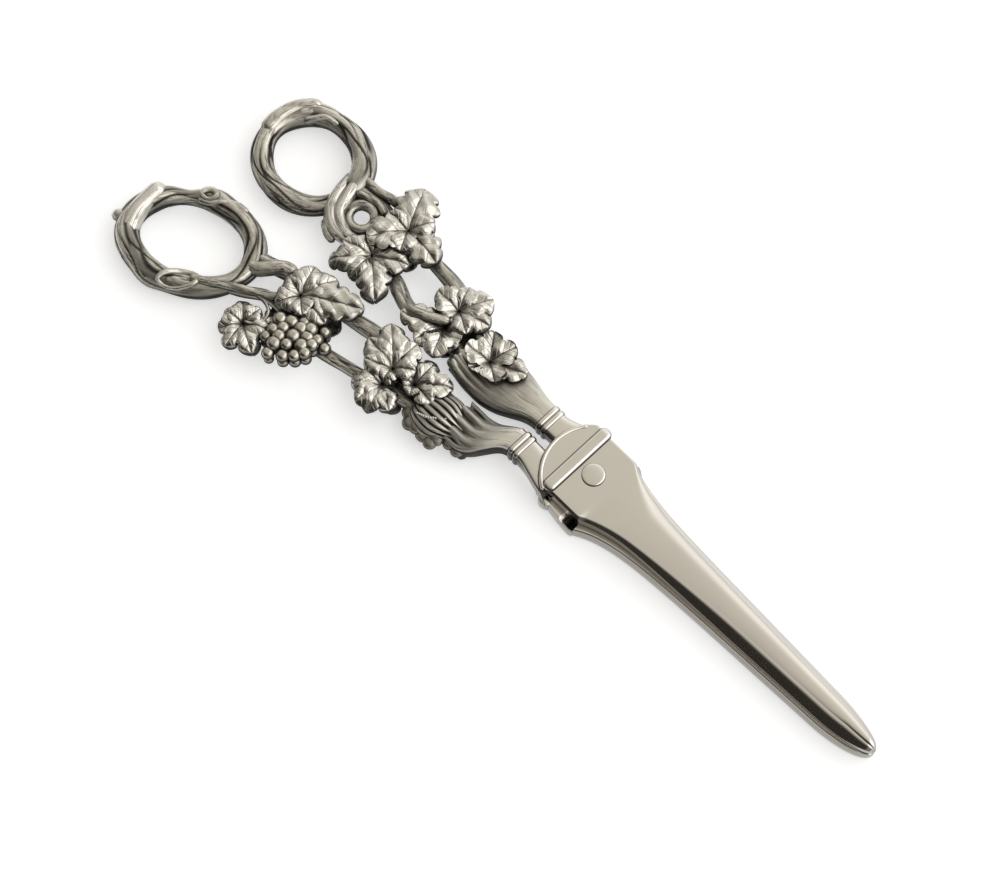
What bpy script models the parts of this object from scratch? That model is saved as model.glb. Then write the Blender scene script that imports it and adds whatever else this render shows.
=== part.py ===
"""Vine-handled grape shears, lying closed on their back. Sizes are in millimetres.

+X runs from the pivot to the blade tips, +Z is up, and the origin is on the pivot's axis where the
lower blade rests. The lower half carries the left arm (at -Y) and the upper half the right arm.
"""

import math

import bmesh
import bpy
from mathutils import Vector

MM = 0.001

# Clearances
SEAT_GAP = 0.3  # between pieces that are soldered together
REST_GAP = 0.4  # between the two handles when they are closed
BLADE_GAP = 0.2  # between the two inner faces
PIN_CLEARANCE = 0.08  # around the rivet, on the radius
LAP_CLEARANCE = 0.5  # between a lap disc and the other arm's shoulder

# Blades
BLADE_LENGTH = 73.5  # from the pivot to the tip
HEEL_X = 4.0  # where the bevelled sides begin
HEEL_HALF_WIDTH = 5.3  # of the straight taper, at the heel
TIP_HALF_WIDTH = 2.85  # of the straight taper, at the tip
HEEL_FLARE = 2.65  # added half width at the heel
HEEL_FLARE_LENGTH = 5.3
TIP_ROUNDING = 12.0
LOWER_THICKNESS = 3.2
UPPER_THICKNESS = 3.2
UPPER_LAND = 0.7  # the upright edge under the bevels
CUTTING_BEVEL = 2.1  # width of the shallow bevel on the cutting side
BACK_BEVEL = 1.1  # width of the steep bevel on the other side
TIP_THINNING = 0.6  # how much lower the upper face lies at the tip
LOWER_FLANGE = 0.85  # how far the lower blade's left side stands out past the upper
HEEL_FLANGE = 1.4  # added to that at the heel
HEEL_FLANGE_LENGTH = 9.0
LOWER_DRAFT = 0.2
LOWER_LEDGE = 0.3  # step along the lower blade's inner face
LEDGE_DEPTH = 0.5
EDGE_ROUND = 0.4
BLADE_STATIONS = 18

# Lap joint
LAP_RADIUS = 10.4
LAP_HALF_WIDTH = 8.0
LOWER_LAP_HALF_WIDTH = 9.6  # of the lower half, on its left side
LAP_EDGE = 0.45
BAR_X = -4.1
BAR_HALF_WIDTH = 1.3
BAR_HEIGHT = 0.9
BAR_HALF_LENGTH = 8.6
RIVET_RADIUS = 1.5
RIVET_HEAD_RADIUS = 2.3
RIVET_HEAD_DEPTH = 0.8
RIVET_PROUD = 0.2
RIVET_BURR_RADIUS = 2.1
ROUND_SIDES = 28

# Necks, between the lap joint and the handles
NECK_END_X = -17.0
NECK_HALF_WIDTH = 2.7
NECK_HALF_HEIGHT = 2.45
RIGHT_NECK_FLARE = 2.6  # how far a neck's outer side spreads towards the lap joint
LEFT_NECK_FLARE = 1.3
NECK_ROOT_X = -6.5
RING_XS = (-14.75, -13.45)
RING_PROUD = 0.35
RING_HALF_LENGTH = 0.6
RIGHT_NECK_Y = 2.4
LEFT_NECK_Y = -5.2
ARM_Z = 3.3  # height of the arms' middle

# Handles
RIGHT_CALYX_HALF_WIDTH = 5.7
LEFT_CALYX_HALF_WIDTH = 5.4
CALYX_HALF_HEIGHT = 2.6
CALYX_PETALS = 9
CALYX_FLUTE = 0.1  # share of the radius
PETAL_LENGTH = 0.8
CALYX_FULLNESS = 0.7  # 1 is an oval section and 0 a box
RIGHT_CALYX_END = (-36.0, 1.0)
LEFT_CALYX_END = (-27.5, -10.2)
RIGHT_CALYX_SHAPE = ((0.0, 0.0), (0.12, 0.08), (0.25, 0.45), (0.38, 0.8), (0.55, 1.0), (0.8, 0.97),
                     (1.0, 0.8))  # how far along and how far open each section is
LEFT_CALYX_SHAPE = ((0.0, 0.0), (0.14, 0.14), (0.28, 0.55), (0.42, 0.85), (0.62, 1.0), (1.0, 0.92))
STEM_INTO_CALYX = 1.5  # how far a stem reaches into the calyx, before its seat is cut
BRANCH_RADIUS = 1.6
TWIG_RADIUS = 0.95
TENDRIL_RADIUS = 0.6
BOW_TUBE_RADIUS = 2.1
BOW_SEGMENTS = 34
TUBE_SIDES = 8
RIGHT_BOW_CENTRE = (-87.6, 7.4)
RIGHT_BOW_RADII = (10.6, 9.6)
RIGHT_BOW_TILT = 0.0
LEFT_BOW_CENTRE = (-91.0, -21.8)
LEFT_BOW_RADII = (13.1, 9.5)
LEFT_BOW_TILT = 24.5
LEAF_THICKNESS = 1.2
LEAF_RISE = 1.1  # how far a leaf's cushions stand above its middle
LEAF_DROOP = 0.9  # how far its edge hangs below its middle
BACK_LEAF_THICKNESS = 0.7
LEAF_STEP = 11.0  # degrees between the points of a leaf's edge
LOBE_SHARE = 0.55  # half length of a lobe's oval, as a share of its reach
LOBE_WIDTH = 0.35  # half width of that oval
LEAF_HUB = 0.5  # least reach between lobes, as a share of the shortest lobe
TOOTH_DEPTH = 0.06
GRAPE_RADIUS = 1.5
GRAPE_SPACING = 2.6
BUNCH_CENTRE = (-61.2, -21.4)
BUNCH_RADII = (5.9, 4.9)
BUNCH_HEART = 0.8  # reach of the solid heart under the grapes, as a share of the bunch
BERRY_RADIUS = 1.15

LOWER_INNER = LOWER_THICKNESS
UPPER_INNER = LOWER_INNER + BLADE_GAP
UPPER_FACE = UPPER_INNER + UPPER_THICKNESS
SHOULDER_RADIUS = LAP_RADIUS + LAP_CLEARANCE
LEAF_Z = ARM_Z + BRANCH_RADIUS + SEAT_GAP  # underside of the leaves on the front
BACK_LEAF_Z = ARM_Z - BRANCH_RADIUS - SEAT_GAP  # upper side of the leaves on the back
FAR = 60.0  # half size of a cutting block
SHAPES = {}  # each piece's simple shapes before it was cut, for cutting seats in its neighbours

# Stems: points in plan between the calyx and the bow
RIGHT_OUTER_STEM = ((-41.0, 6.6), (-46.5, 8.8), (-53.5, 9.5), (-60.0, 9.4), (-66.0, 9.8), (-71.5, 10.4))
RIGHT_INNER_STEM = ((-42.0, 0.2), (-47.5, -0.5), (-51.5, -0.6), (-56.5, 1.2), (-62.0, 1.8), (-67.0, 1.6),
                    (-72.0, 1.6))
LEFT_INNER_STEM = ((-36.0, -8.9), (-43.0, -9.4), (-50.0, -9.2), (-56.0, -10.2), (-63.0, -11.4), (-70.0, -12.0))
LEFT_OUTER_STEM = ((-36.0, -14.4), (-44.0, -16.6), (-50.0, -18.0), (-56.0, -19.4), (-62.0, -19.8),
                   (-67.5, -18.8), (-72.0, -19.2), (-76.0, -22.0))
RIGHT_CROSS_VINE = ((-74.4, 10.0), (-73.9, 6.0), (-73.9, 1.8))
RIGHT_BUD = ((-71.0, 0.6), (-73.4, -0.8), (-75.0, -1.6))
LEFT_TWIG = ((-72.4, -19.6), (-76.0, -22.4), (-80.0, -25.0), (-84.2, -27.4), (-87.8, -29.6))
LEFT_TENDRIL = ((-73.0, -20.6), (-70.4, -21.0), (-68.4, -22.4), (-68.8, -24.2), (-70.4, -25.6))
BERRY_LINE = ((-33.8, -15.9), (-29.8, -16.9), (-26.0, -16.0), (-23.4, -14.7))
FOLDED_LEAF = ((-23.0, -11.4, 2.2), (-25.5, -11.7, 4.0), (-28.8, -12.1, 4.9), (-32.2, -12.6, 4.5),
               (-35.0, -13.2, 2.6))  # middle in plan and half width of each section

# Leaves: where the veins meet, height above the stems, then each lobe's direction and length
RIGHT_LEAVES = {
    "right_top_leaf": ((-61.6, 9.7), 0.5,
                       ((60, 5.2), (115, 9.4), (185, 5.6), (235, 8.2), (300, 5.0), (355, 9.0))),
    "right_mid_leaf": ((-42.2, 5.2), 0.3, ((15, 6.6), (67, 6.6), (118, 5.2), (186, 5.8), (332, 5.4))),
    "right_curled_leaf": ((-30.4, 2.0), 1.0,
                          ((25, 7.4), (74, 5.6), (126, 5.6), (195, 5.4), (250, 4.4), (335, 5.4))),
    "right_low_leaf": ((-63.0, 0.4), 0.0,
                       ((31, 7.6), (110, 2.4), (198, 6.2), (230, 7.8), (276, 5.4), (322, 8.6))),
    "right_under_leaf": ((-42.4, -0.2), 0.0,
                         ((60, 2.2), (150, 2.6), (206, 8.2), (250, 5.0), (300, 5.4), (340, 5.0))),
}
LEFT_LEAVES = {
    "left_large_leaf": ((-64.6, -13.4), 0.5,
                        ((30, 11.4), (66, 6.8), (132, 7.2), (177, 7.2), (245, 7.0), (300, 5.6), (349, 7.8))),
    "left_mid_leaf": ((-42.4, -12.2), 0.5, ((40, 4.6), (95, 6.4), (136, 8.6), (172, 7.6), (212, 5.6))),
    "left_side_leaf": ((-36.8, -11.6), 0.0, ((0, 5.0), (41, 7.2), (88, 5.8), (200, 2.4), (300, 2.6))),
    "left_fan_leaf": ((-41.6, -16.6), 0.0,
                      ((85, 1.8), (190, 4.6), (224, 5.6), (256, 5.8), (292, 5.6), (330, 5.6))),
}
LEFT_LAST_LEAVES = {
    "left_small_leaf": ((-70.1, -26.7), -1.0,
                        ((25, 5.4), (84, 4.4), (135, 4.6), (190, 4.4), (240, 5.0), (285, 5.8), (330, 6.6))),
}
RIGHT_BACK_LEAVES = {
    "right_back_leaf": ((-63.0, 5.6), ((15, 6.4), (85, 9.0), (150, 7.5), (225, 8.0), (300, 7.4))),
    "right_back_low_leaf": ((-42.0, 3.4), ((10, 6.5), (80, 6.8), (150, 7.0), (220, 6.5), (290, 6.8))),
}
LEFT_BACK_LEAVES = {
    "left_back_leaf": ((-64.0, -15.6), ((15, 7.4), (85, 8.0), (155, 7.0), (235, 8.5), (305, 8.0))),
    "left_back_low_leaf": ((-42.0, -13.4), ((30, 7.4), (95, 7.0), (165, 7.2), (245, 7.0), (310, 6.4))),
}


def clear_scene():
    for old in list(bpy.data.objects):
        bpy.data.objects.remove(old, do_unlink=True)


def silver(name, colour, roughness):
    material = bpy.data.materials.new(name)
    material.use_nodes = True
    shader = material.node_tree.nodes["Principled BSDF"]
    shader.inputs["Base Color"].default_value = (*colour, 1.0)
    shader.inputs["Metallic"].default_value = 1.0
    shader.inputs["Roughness"].default_value = roughness
    return material


def make_object(name, bm, material=None):
    """An object from a bmesh in millimetres. Without a material it is a helper that isn't a piece."""
    bmesh.ops.recalc_face_normals(bm, faces=bm.faces)
    bmesh.ops.scale(bm, vec=(MM, MM, MM), verts=bm.verts)
    mesh = bpy.data.meshes.new(name)
    bm.to_mesh(mesh)
    bm.free()
    if material is not None:
        mesh.materials.append(material)
        SHAPES[name] = [mesh.copy()]
    piece = bpy.data.objects.new(name, mesh)
    bpy.context.scene.collection.objects.link(piece)
    if material is None:
        piece.hide_render = True
        piece.display_type = "WIRE"
    return piece


def loft(rings, closed=False):
    """A skin over rings of as many points each, with flat ends unless it closes on itself."""
    bm = bmesh.new()
    loops = [[bm.verts.new(p) for p in ring] for ring in rings]
    pairs = list(zip(loops, loops[1:]))
    if closed:
        pairs.append((loops[-1], loops[0]))
    for near, far in pairs:
        for i in range(len(near)):
            j = (i + 1) % len(near)
            bm.faces.new((near[i], near[j], far[j], far[i]))
    if not closed:
        bm.faces.new(loops[0])
        bm.faces.new(loops[-1])
    return bm


def at_height(points, z=ARM_Z):
    return [(x, y, z) for x, y in points]


def smooth_path(points, steps):
    """Points on a smooth curve through the given ones, with that many steps in each span."""
    points = [Vector(p) for p in points]
    padded = [2 * points[0] - points[1]] + points + [2 * points[-1] - points[-2]]
    path = []
    for a, b, c, d in zip(padded, padded[1:], padded[2:], padded[3:]):
        for i in range(steps):
            t = i / steps
            path.append(0.5 * (2 * b + (c - a) * t + (2 * a - 5 * b + 4 * c - d) * t**2
                               + (3 * b - a - 3 * c + d) * t**3))
    path.append(points[-1])
    return path


def tube(path, radii, closed=False):
    """A round tube along a path, with a radius for each of its points."""
    count = len(path)
    rings = []
    for i, point in enumerate(path):
        before = path[i - 1] if closed else path[max(i - 1, 0)]
        after = path[(i + 1) % count] if closed else path[min(i + 1, count - 1)]
        along = (after - before).normalized()
        across = along.cross(Vector((0, 0, 1))).normalized()
        over = across.cross(along)
        rings.append([point + radii[i] * (math.cos(a) * across + math.sin(a) * over)
                      for a in (math.tau * k / TUBE_SIDES for k in range(TUBE_SIDES))])
    return loft(rings, closed)


def turned(profile):
    """A solid turned about the pivot's axis from (radius, height) points listed from bottom to top."""
    rings = [[(r * math.cos(a), r * math.sin(a), z)
              for a in (math.tau * k / ROUND_SIDES for k in range(ROUND_SIDES))] for r, z in profile]
    return loft(rings)


def block(low, high):
    bm = bmesh.new()
    bmesh.ops.create_cube(bm, size=1.0)
    bmesh.ops.scale(bm, vec=Vector(high) - Vector(low), verts=bm.verts)
    bmesh.ops.translate(bm, vec=(Vector(low) + Vector(high)) / 2, verts=bm.verts)
    return bm


def ball(centre, radius, shape=(1, 1, 1)):
    bm = bmesh.new()
    bmesh.ops.create_icosphere(bm, subdivisions=2, radius=radius)
    bmesh.ops.scale(bm, vec=shape, verts=bm.verts)
    bmesh.ops.translate(bm, vec=centre, verts=bm.verts)
    return bm


def combine(piece, others, operation):
    """Joins helpers to a piece, or cuts them from it, and removes the helpers."""
    for other in others:
        modifier = piece.modifiers.new(operation, "BOOLEAN")
        modifier.operation = operation
        modifier.object = other
        bpy.context.view_layer.update()
        graph = bpy.context.evaluated_depsgraph_get()
        mesh = bpy.data.meshes.new_from_object(piece.evaluated_get(graph))
        piece.modifiers.clear()
        old = piece.data
        piece.data = mesh
        bpy.data.meshes.remove(old)
        if operation == "UNION" and piece.name in SHAPES:
            SHAPES[piece.name].append(other.data.copy())
        bpy.data.objects.remove(other, do_unlink=True)
    return piece


def grown(mesh, gap):
    """A helper with a simple shape, larger by a gap all round, for cutting its seat in a neighbour."""
    bm = bmesh.new()
    bm.from_mesh(mesh)
    bm.normal_update()
    moved = [v.co + v.normal * min(v.calc_shell_factor(), 1.6) * gap * MM for v in bm.verts]
    for v, place in zip(bm.verts, moved):
        v.co = place
    bmesh.ops.scale(bm, vec=(1 / MM,) * 3, verts=bm.verts)
    return make_object("seat", bm)


def keep_largest(piece):
    """Drops the loose chips that cutting a seat can leave."""
    bm = bmesh.new()
    bm.from_mesh(piece.data)
    left = set(bm.verts)
    islands = []
    while left:
        stack = [left.pop()]
        island = set(stack)
        while stack:
            for edge in stack.pop().link_edges:
                for v in edge.verts:
                    if v in left:
                        left.remove(v)
                        island.add(v)
                        stack.append(v)
        islands.append(island)
    islands.sort(key=len)
    for island in islands[:-1]:
        bmesh.ops.delete(bm, geom=list(island), context="VERTS")
    bm.to_mesh(piece.data)
    bm.free()
    return piece


def box(mesh):
    """Lowest and highest corner of a mesh."""
    places = [v.co for v in mesh.vertices]
    return [[pick(p[axis] for p in places) for axis in range(3)] for pick in (min, max)]


def near(one, other, gap):
    """Whether two meshes' boxes come within a gap of each other."""
    (low, high), (other_low, other_high) = box(one), box(other)
    return all(max(low[k], other_low[k]) - min(high[k], other_high[k]) <= gap * MM for k in range(3))


def seat(piece, neighbours, gap=SEAT_GAP):
    """Cuts a piece back so that it lies a gap from each neighbour."""
    shapes = [mesh for n in neighbours for mesh in SHAPES[n.name] if near(piece.data, mesh, gap)]
    combine(piece, [grown(mesh, gap) for mesh in shapes], "DIFFERENCE")
    return keep_largest(piece)


def tip_share(x):
    """How much of its width a blade still has at a distance from the pivot, as its tip rounds off."""
    into_tip = max(0.0, (x - BLADE_LENGTH + TIP_ROUNDING) / TIP_ROUNDING)
    return math.sqrt(max(0.0, 1 - into_tip**2))


def half_width(x):
    """Half width of the upper blade at a distance from the pivot."""
    along = (x - HEEL_X) / (BLADE_LENGTH - HEEL_X)
    taper = HEEL_HALF_WIDTH + (TIP_HALF_WIDTH - HEEL_HALF_WIDTH) * along
    flare = HEEL_FLARE * math.exp(-(x - HEEL_X) / HEEL_FLARE_LENGTH)
    return (taper + flare) * tip_share(x)


def flange(x):
    """How far the lower blade's left side stands out past the upper blade."""
    return (LOWER_FLANGE + HEEL_FLANGE * math.exp(-(x - HEEL_X) / HEEL_FLANGE_LENGTH)) * tip_share(x)


def blade_side(flanged):
    """Points along one side from the tip to behind the lap, each with how far it belongs to the blade."""
    lap = LOWER_LAP_HALF_WIDTH if flanged else LAP_HALF_WIDTH
    points = []
    for i in range(1, BLADE_STATIONS):
        x = HEEL_X + (BLADE_LENGTH - HEEL_X) * (1 + math.cos(math.pi * i / BLADE_STATIONS)) / 2
        points.append((x, half_width(x) + (flange(x) if flanged else 0.0), 1.0))
    shoulder = half_width(HEEL_X) + (flange(HEEL_X) if flanged else 0.0)
    for back, share in ((0.4, 0.0), (1.3, 0.5), (2.2, 1.0)):
        points.append((HEEL_X - back, shoulder + (lap - shoulder) * share, 0.0))
    start = math.pi - math.asin(lap / LAP_RADIUS)
    for i in range(10):
        a = start + (math.pi - start) * i / 9
        points.append((LAP_RADIUS * math.cos(a), LAP_RADIUS * math.sin(a), -1.0))
    return points


def blade_ring(height, right=0.0, left=0.0, lap=0.0, tip=0.0, tip_drop=0.0, flanged=False):
    """A blade and its lap plate in plan, as a ring at a height, taken in on each side and at the tip."""
    length = BLADE_LENGTH - HEEL_X
    sides = []
    for inset, wide in ((right, False), (left, flanged)):
        side = []
        for x, y, share in blade_side(wide):
            z = height - tip_drop * max(0.0, x - HEEL_X) / length
            if share < 0:
                k = 1 - lap / LAP_RADIUS
                side.append((x * k, y * k, z))
                continue
            take = inset * share + lap * (1 - share)
            if take > 0:
                take *= min(1.0, y / (2 * take))
            side.append((x - tip * share * max(0.0, x - HEEL_X) / length, y - take, z))
        sides.append(side)
    tip_point = (BLADE_LENGTH - tip, 0.0, height - tip_drop)
    mirrored = [(x, -y, z) for x, y, z in reversed(sides[1][:-1])]
    return [tip_point] + sides[0] + mirrored


def bar_moulding():
    """Half-round bar across the upper half, with rounded ends."""
    rings = []
    for i in range(13):
        y = BAR_HALF_LENGTH * math.sin(math.pi * (i / 12 - 0.5))
        into_end = max(0.0, (abs(y) - BAR_HALF_LENGTH + BAR_HALF_WIDTH) / BAR_HALF_WIDTH)
        size = max(0.1, math.sqrt(max(0.0, 1 - into_end**2)))
        half, height = BAR_HALF_WIDTH * size, BAR_HEIGHT * size
        foot = UPPER_FACE - LAP_EDGE - 0.3
        arch = [(BAR_X + half * math.cos(a), y, UPPER_FACE + height * math.sin(a))
                for a in (math.pi * k / 6 for k in range(7))]
        rings.append(arch + [(BAR_X - half, y, foot), (BAR_X + half, y, foot)])
    return make_object("bar", loft(rings))


def neck(centre_y, outer, flare):
    """The shank from a handle to the lap joint, with two rings round it. Outer is +1 or -1 along Y."""
    stations = [NECK_END_X]
    for ring_x in RING_XS:
        stations += [ring_x + RING_HALF_LENGTH * k for k in (-1.0, -0.6, 0.0, 0.6, 1.0)]
    flare_start = stations[-1]
    stations += [flare_start + (NECK_ROOT_X - flare_start) * k for k in (0.25, 0.5, 0.75, 1.0)]
    rings = []
    for x in stations:
        proud = 0.0
        for ring_x in RING_XS:
            into = abs(x - ring_x) / RING_HALF_LENGTH
            if into < 1:
                proud = RING_PROUD * math.sqrt(1 - into**2)
        spread = flare * max(0.0, (x - flare_start) / (NECK_ROOT_X - flare_start)) ** 2
        middle = centre_y + outer * spread / 2
        half_y = NECK_HALF_WIDTH + proud + spread / 2
        half_z = NECK_HALF_HEIGHT + proud
        ring = []
        for k in range(16):
            c, s = math.cos(math.tau * (k + 0.5) / 16), math.sin(math.tau * (k + 0.5) / 16)
            ring.append((x, middle + half_y * math.copysign(abs(c) ** 0.5, c),
                         ARM_Z + half_z * math.copysign(abs(s) ** 0.5, s)))
        rings.append(ring)
    return make_object("neck", loft(rings))


def rivet_profile():
    """Burr, shank and head of the rivet, from bottom to top."""
    head_floor = UPPER_FACE - RIVET_HEAD_DEPTH
    head_top = UPPER_FACE + RIVET_PROUD
    return [(RIVET_BURR_RADIUS, 0.0), (RIVET_BURR_RADIUS, RIVET_HEAD_DEPTH), (RIVET_RADIUS, RIVET_HEAD_DEPTH),
            (RIVET_RADIUS, head_floor), (RIVET_HEAD_RADIUS, head_floor), (RIVET_HEAD_RADIUS, head_top - 0.15),
            (RIVET_HEAD_RADIUS - 0.3, head_top)]


def rivet_bore():
    """The rivet's room in both halves, open at the top and the bottom."""
    burr_roof = RIVET_HEAD_DEPTH + PIN_CLEARANCE
    head_floor = UPPER_FACE - RIVET_HEAD_DEPTH - PIN_CLEARANCE
    return make_object("bore", turned([
        (RIVET_BURR_RADIUS + PIN_CLEARANCE, -FAR), (RIVET_BURR_RADIUS + PIN_CLEARANCE, burr_roof),
        (RIVET_RADIUS + PIN_CLEARANCE, burr_roof), (RIVET_RADIUS + PIN_CLEARANCE, head_floor),
        (RIVET_HEAD_RADIUS + PIN_CLEARANCE, head_floor), (RIVET_HEAD_RADIUS + PIN_CLEARANCE, FAR)]))


def other_half_room(low, high):
    """Cutters for the room in which the other half's lap disc turns and its blade lies."""
    rings = [[(SHOULDER_RADIUS * math.cos(a), SHOULDER_RADIUS * math.sin(a), z)
              for a in (math.tau * k / 48 for k in range(48))] for z in (low, high)]
    blade_room = block((0, -FAR, low), (2 * FAR, FAR, high))
    return [make_object("disc_room", loft(rings)), make_object("blade_room", blade_room)]


def upper_blade(material):
    land = UPPER_INNER + UPPER_LAND
    rings = [blade_ring(UPPER_INNER), blade_ring(land),
             blade_ring(UPPER_FACE, CUTTING_BEVEL, BACK_BEVEL, LAP_EDGE, CUTTING_BEVEL, TIP_THINNING)]
    for i, (x, y, z) in enumerate(rings[1]):
        if x < HEEL_X:
            rings[1][i] = (x, y, UPPER_FACE - LAP_EDGE)
    blade = make_object("upper_blade", loft(rings), material)
    shank = neck(RIGHT_NECK_Y, 1, RIGHT_NECK_FLARE)
    combine(shank, other_half_room(-FAR, UPPER_INNER), "DIFFERENCE")
    combine(blade, [bar_moulding(), shank], "UNION")
    combine(blade, [rivet_bore()], "DIFFERENCE")
    return keep_largest(blade)


def lower_blade(material):
    shelf = LOWER_INNER - LEDGE_DEPTH
    top = LOWER_DRAFT + LOWER_LEDGE
    rings = [blade_ring(0.0, EDGE_ROUND, EDGE_ROUND, EDGE_ROUND, EDGE_ROUND, flanged=True),
             blade_ring(EDGE_ROUND, flanged=True),
             blade_ring(shelf, LOWER_DRAFT, LOWER_DRAFT, LOWER_DRAFT, flanged=True),
             blade_ring(shelf, top, top, top, top, flanged=True),
             blade_ring(LOWER_INNER, top, top, top, top, flanged=True)]
    blade = make_object("lower_blade", loft(rings), material)
    shank = neck(LEFT_NECK_Y, -1, LEFT_NECK_FLARE)
    combine(shank, other_half_room(LOWER_INNER, FAR), "DIFFERENCE")
    combine(blade, [shank], "UNION")
    combine(blade, [rivet_bore()], "DIFFERENCE")
    return keep_largest(blade)


def calyx(name, neck_y, end, half_width_y, shape, material):
    """Fluted bell at the end of a neck, opening towards the vine with a petalled rim.

    Its shape is a list of how far along and how far open each section is.
    """
    sides = 3 * CALYX_PETALS
    start_x = NECK_END_X - SEAT_GAP
    sections = [(*section, 1.0) for section in shape] + [(shape[-1][0] - 0.1, shape[-1][1], 0.6)]
    rings = []
    for i, (along, opening, size) in enumerate(sections):
        x = start_x + (end[0] - start_x) * along
        y = neck_y + (end[1] - neck_y) * opening
        half_y = (NECK_HALF_WIDTH + (half_width_y - NECK_HALF_WIDTH) * opening) * size
        half_z = (NECK_HALF_HEIGHT + (CALYX_HALF_HEIGHT - NECK_HALF_HEIGHT) * opening) * size
        rim = i == len(shape) - 1
        ring = []
        for k in range(sides):
            a = math.tau * k / sides
            wave = (math.cos(CALYX_PETALS * a) - 1) / 2
            swell = 1 + CALYX_FLUTE * min(1.0, 2 * along) * wave
            c, s = math.cos(a), math.sin(a)
            ring.append((x - (PETAL_LENGTH * wave if rim else 0.0),
                         y + half_y * swell * math.copysign(abs(c) ** CALYX_FULLNESS, c),
                         ARM_Z + half_z * swell * math.copysign(abs(s) ** CALYX_FULLNESS, s)))
        rings.append(ring)
    return make_object(name, loft(rings), material)


def bow(name, centre, radii, tilt, knots, material):
    """A finger bow: a closed vine stem with swellings at its knots, given as (direction, swelling, width)."""
    path, sizes = [], []
    turn = math.radians(tilt)
    for i in range(BOW_SEGMENTS):
        a = math.tau * i / BOW_SEGMENTS
        u, v = radii[0] * math.cos(a), radii[1] * math.sin(a)
        path.append(Vector((centre[0] + u * math.cos(turn) - v * math.sin(turn),
                            centre[1] + u * math.sin(turn) + v * math.cos(turn), ARM_Z)))
        size = BOW_TUBE_RADIUS * (1 + 0.06 * math.sin(3 * a) + 0.05 * math.sin(5 * a + 1))
        for direction, swelling, width in knots:
            off = (math.degrees(a) - direction + 180) % 360 - 180
            size += swelling * math.exp(-((off / width) ** 2))
        sizes.append(size)
    return make_object(name, tube(path, sizes, closed=True), material)


def stub(start, end, start_radius, end_radius):
    """A cut twig end that stands on a bow."""
    path = smooth_path([start, end], 3)
    sizes = [start_radius + (end_radius - start_radius) * i / (len(path) - 1) for i in range(len(path))]
    return make_object("stub", tube(path, sizes))


def vine(name, points, radius, material, start_share=1.0, end_share=1.0, steps=2):
    """A stem through points, with its radius changing from one share to another along it."""
    path = smooth_path(points, steps)
    last = len(path) - 1
    sizes = []
    for i in range(last + 1):
        share = start_share + (end_share - start_share) * i / last
        sizes.append(radius * share * (1 + 0.07 * math.sin(1.9 * i)))
    return make_object(name, tube(path, sizes), material)


def lobe_reach(off, length):
    """How far a lobe reaches from the leaf's middle in a direction that is off its vein, in radians."""
    middle, half_length, half_width_here = (1 - LOBE_SHARE) * length, LOBE_SHARE * length, LOBE_WIDTH * length
    c, s = math.cos(off), math.sin(off)
    a = (c / half_length) ** 2 + (s / half_width_here) ** 2
    b = middle * c / half_length**2
    d = b**2 - a * ((middle / half_length) ** 2 - 1)
    return (b + math.sqrt(d)) / a if d > 0 and b > 0 else 0.0


def leaf_edge(lobes):
    """Directions, reaches and distances from a vein of the points round a leaf's edge."""
    lobes = sorted(lobes)
    least = LEAF_HUB * min(length for _, length in lobes)
    points = []
    for (a, _), (b, _) in zip(lobes, lobes[1:] + lobes[:1]):
        span = (b - a) % 360
        steps = 2 * max(2, round(span / LEAF_STEP / 2))
        for i in range(steps):
            direction = math.radians(a + span * i / steps)
            reach = max(lobe_reach(direction - math.radians(angle), length) for angle, length in lobes)
            tooth = 1 - TOOTH_DEPTH * (i % 2)
            points.append((direction, max(reach, least) * tooth, math.sin(math.pi * i / steps)))
    return points


def leaf(name, centre, seat_z, lobes, material, front=1):
    """A vine leaf whose veins lie in valleys between cushions. Front is +1, or -1 for a leaf on the back."""
    thickness = LEAF_THICKNESS if front > 0 else BACK_LEAF_THICKNESS
    rise = LEAF_RISE if front > 0 else seat_z - BACK_LEAF_THICKNESS
    droop = LEAF_DROOP if front > 0 else 0.0
    edge = leaf_edge(lobes)
    count = len(edge)
    bm = bmesh.new()
    skins = []
    for lift in (0.0, thickness):
        middle = bm.verts.new((centre[0], centre[1], seat_z + front * lift))
        loops = []
        for share, cushion in ((0.5, rise), (1.0, -droop)):
            loop = []
            for a, reach, from_vein in edge:
                swell = cushion * (0.25 + 0.75 * from_vein) if share < 1 else cushion
                out = reach * share
                loop.append(bm.verts.new((centre[0] + out * math.cos(a), centre[1] + out * math.sin(a),
                                          seat_z + front * (lift + swell))))
            loops.append(loop)
        for i in range(count):
            j = (i + 1) % count
            bm.faces.new((middle, loops[0][i], loops[0][j]))
            bm.faces.new((loops[0][i], loops[1][i], loops[1][j], loops[0][j]))
        skins.append(loops)
    rims = [skin[1] for skin in skins]
    for i in range(count):
        j = (i + 1) % count
        bm.faces.new((rims[0][i], rims[0][j], rims[1][j], rims[1][i]))
    return make_object(name, bm, material)


def bunch_height():
    """Height of the middle of the bunch's lower layer."""
    return ARM_Z + 0.6 * BRANCH_RADIUS


def bunch_places():
    """Middles of the grapes: rows in an oval, and a few more on top of its middle."""
    places = []
    row_step = GRAPE_SPACING * math.sin(math.pi / 3)
    rows = int(BUNCH_RADII[1] / row_step)
    columns = int(BUNCH_RADII[0] / GRAPE_SPACING) + 1
    for layer, share in ((0, 1.0), (1, 0.5)):
        for row in range(-rows, rows + 1):
            for column in range(-columns, columns + 1):
                x = (column + (row % 2) / 2) * GRAPE_SPACING
                y = row * row_step + layer * row_step * 2 / 3
                if math.hypot(x / BUNCH_RADII[0], y / BUNCH_RADII[1]) <= share:
                    z = bunch_height() + layer * GRAPE_RADIUS
                    places.append((BUNCH_CENTRE[0] + x, BUNCH_CENTRE[1] + y, z))
    return places


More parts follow.
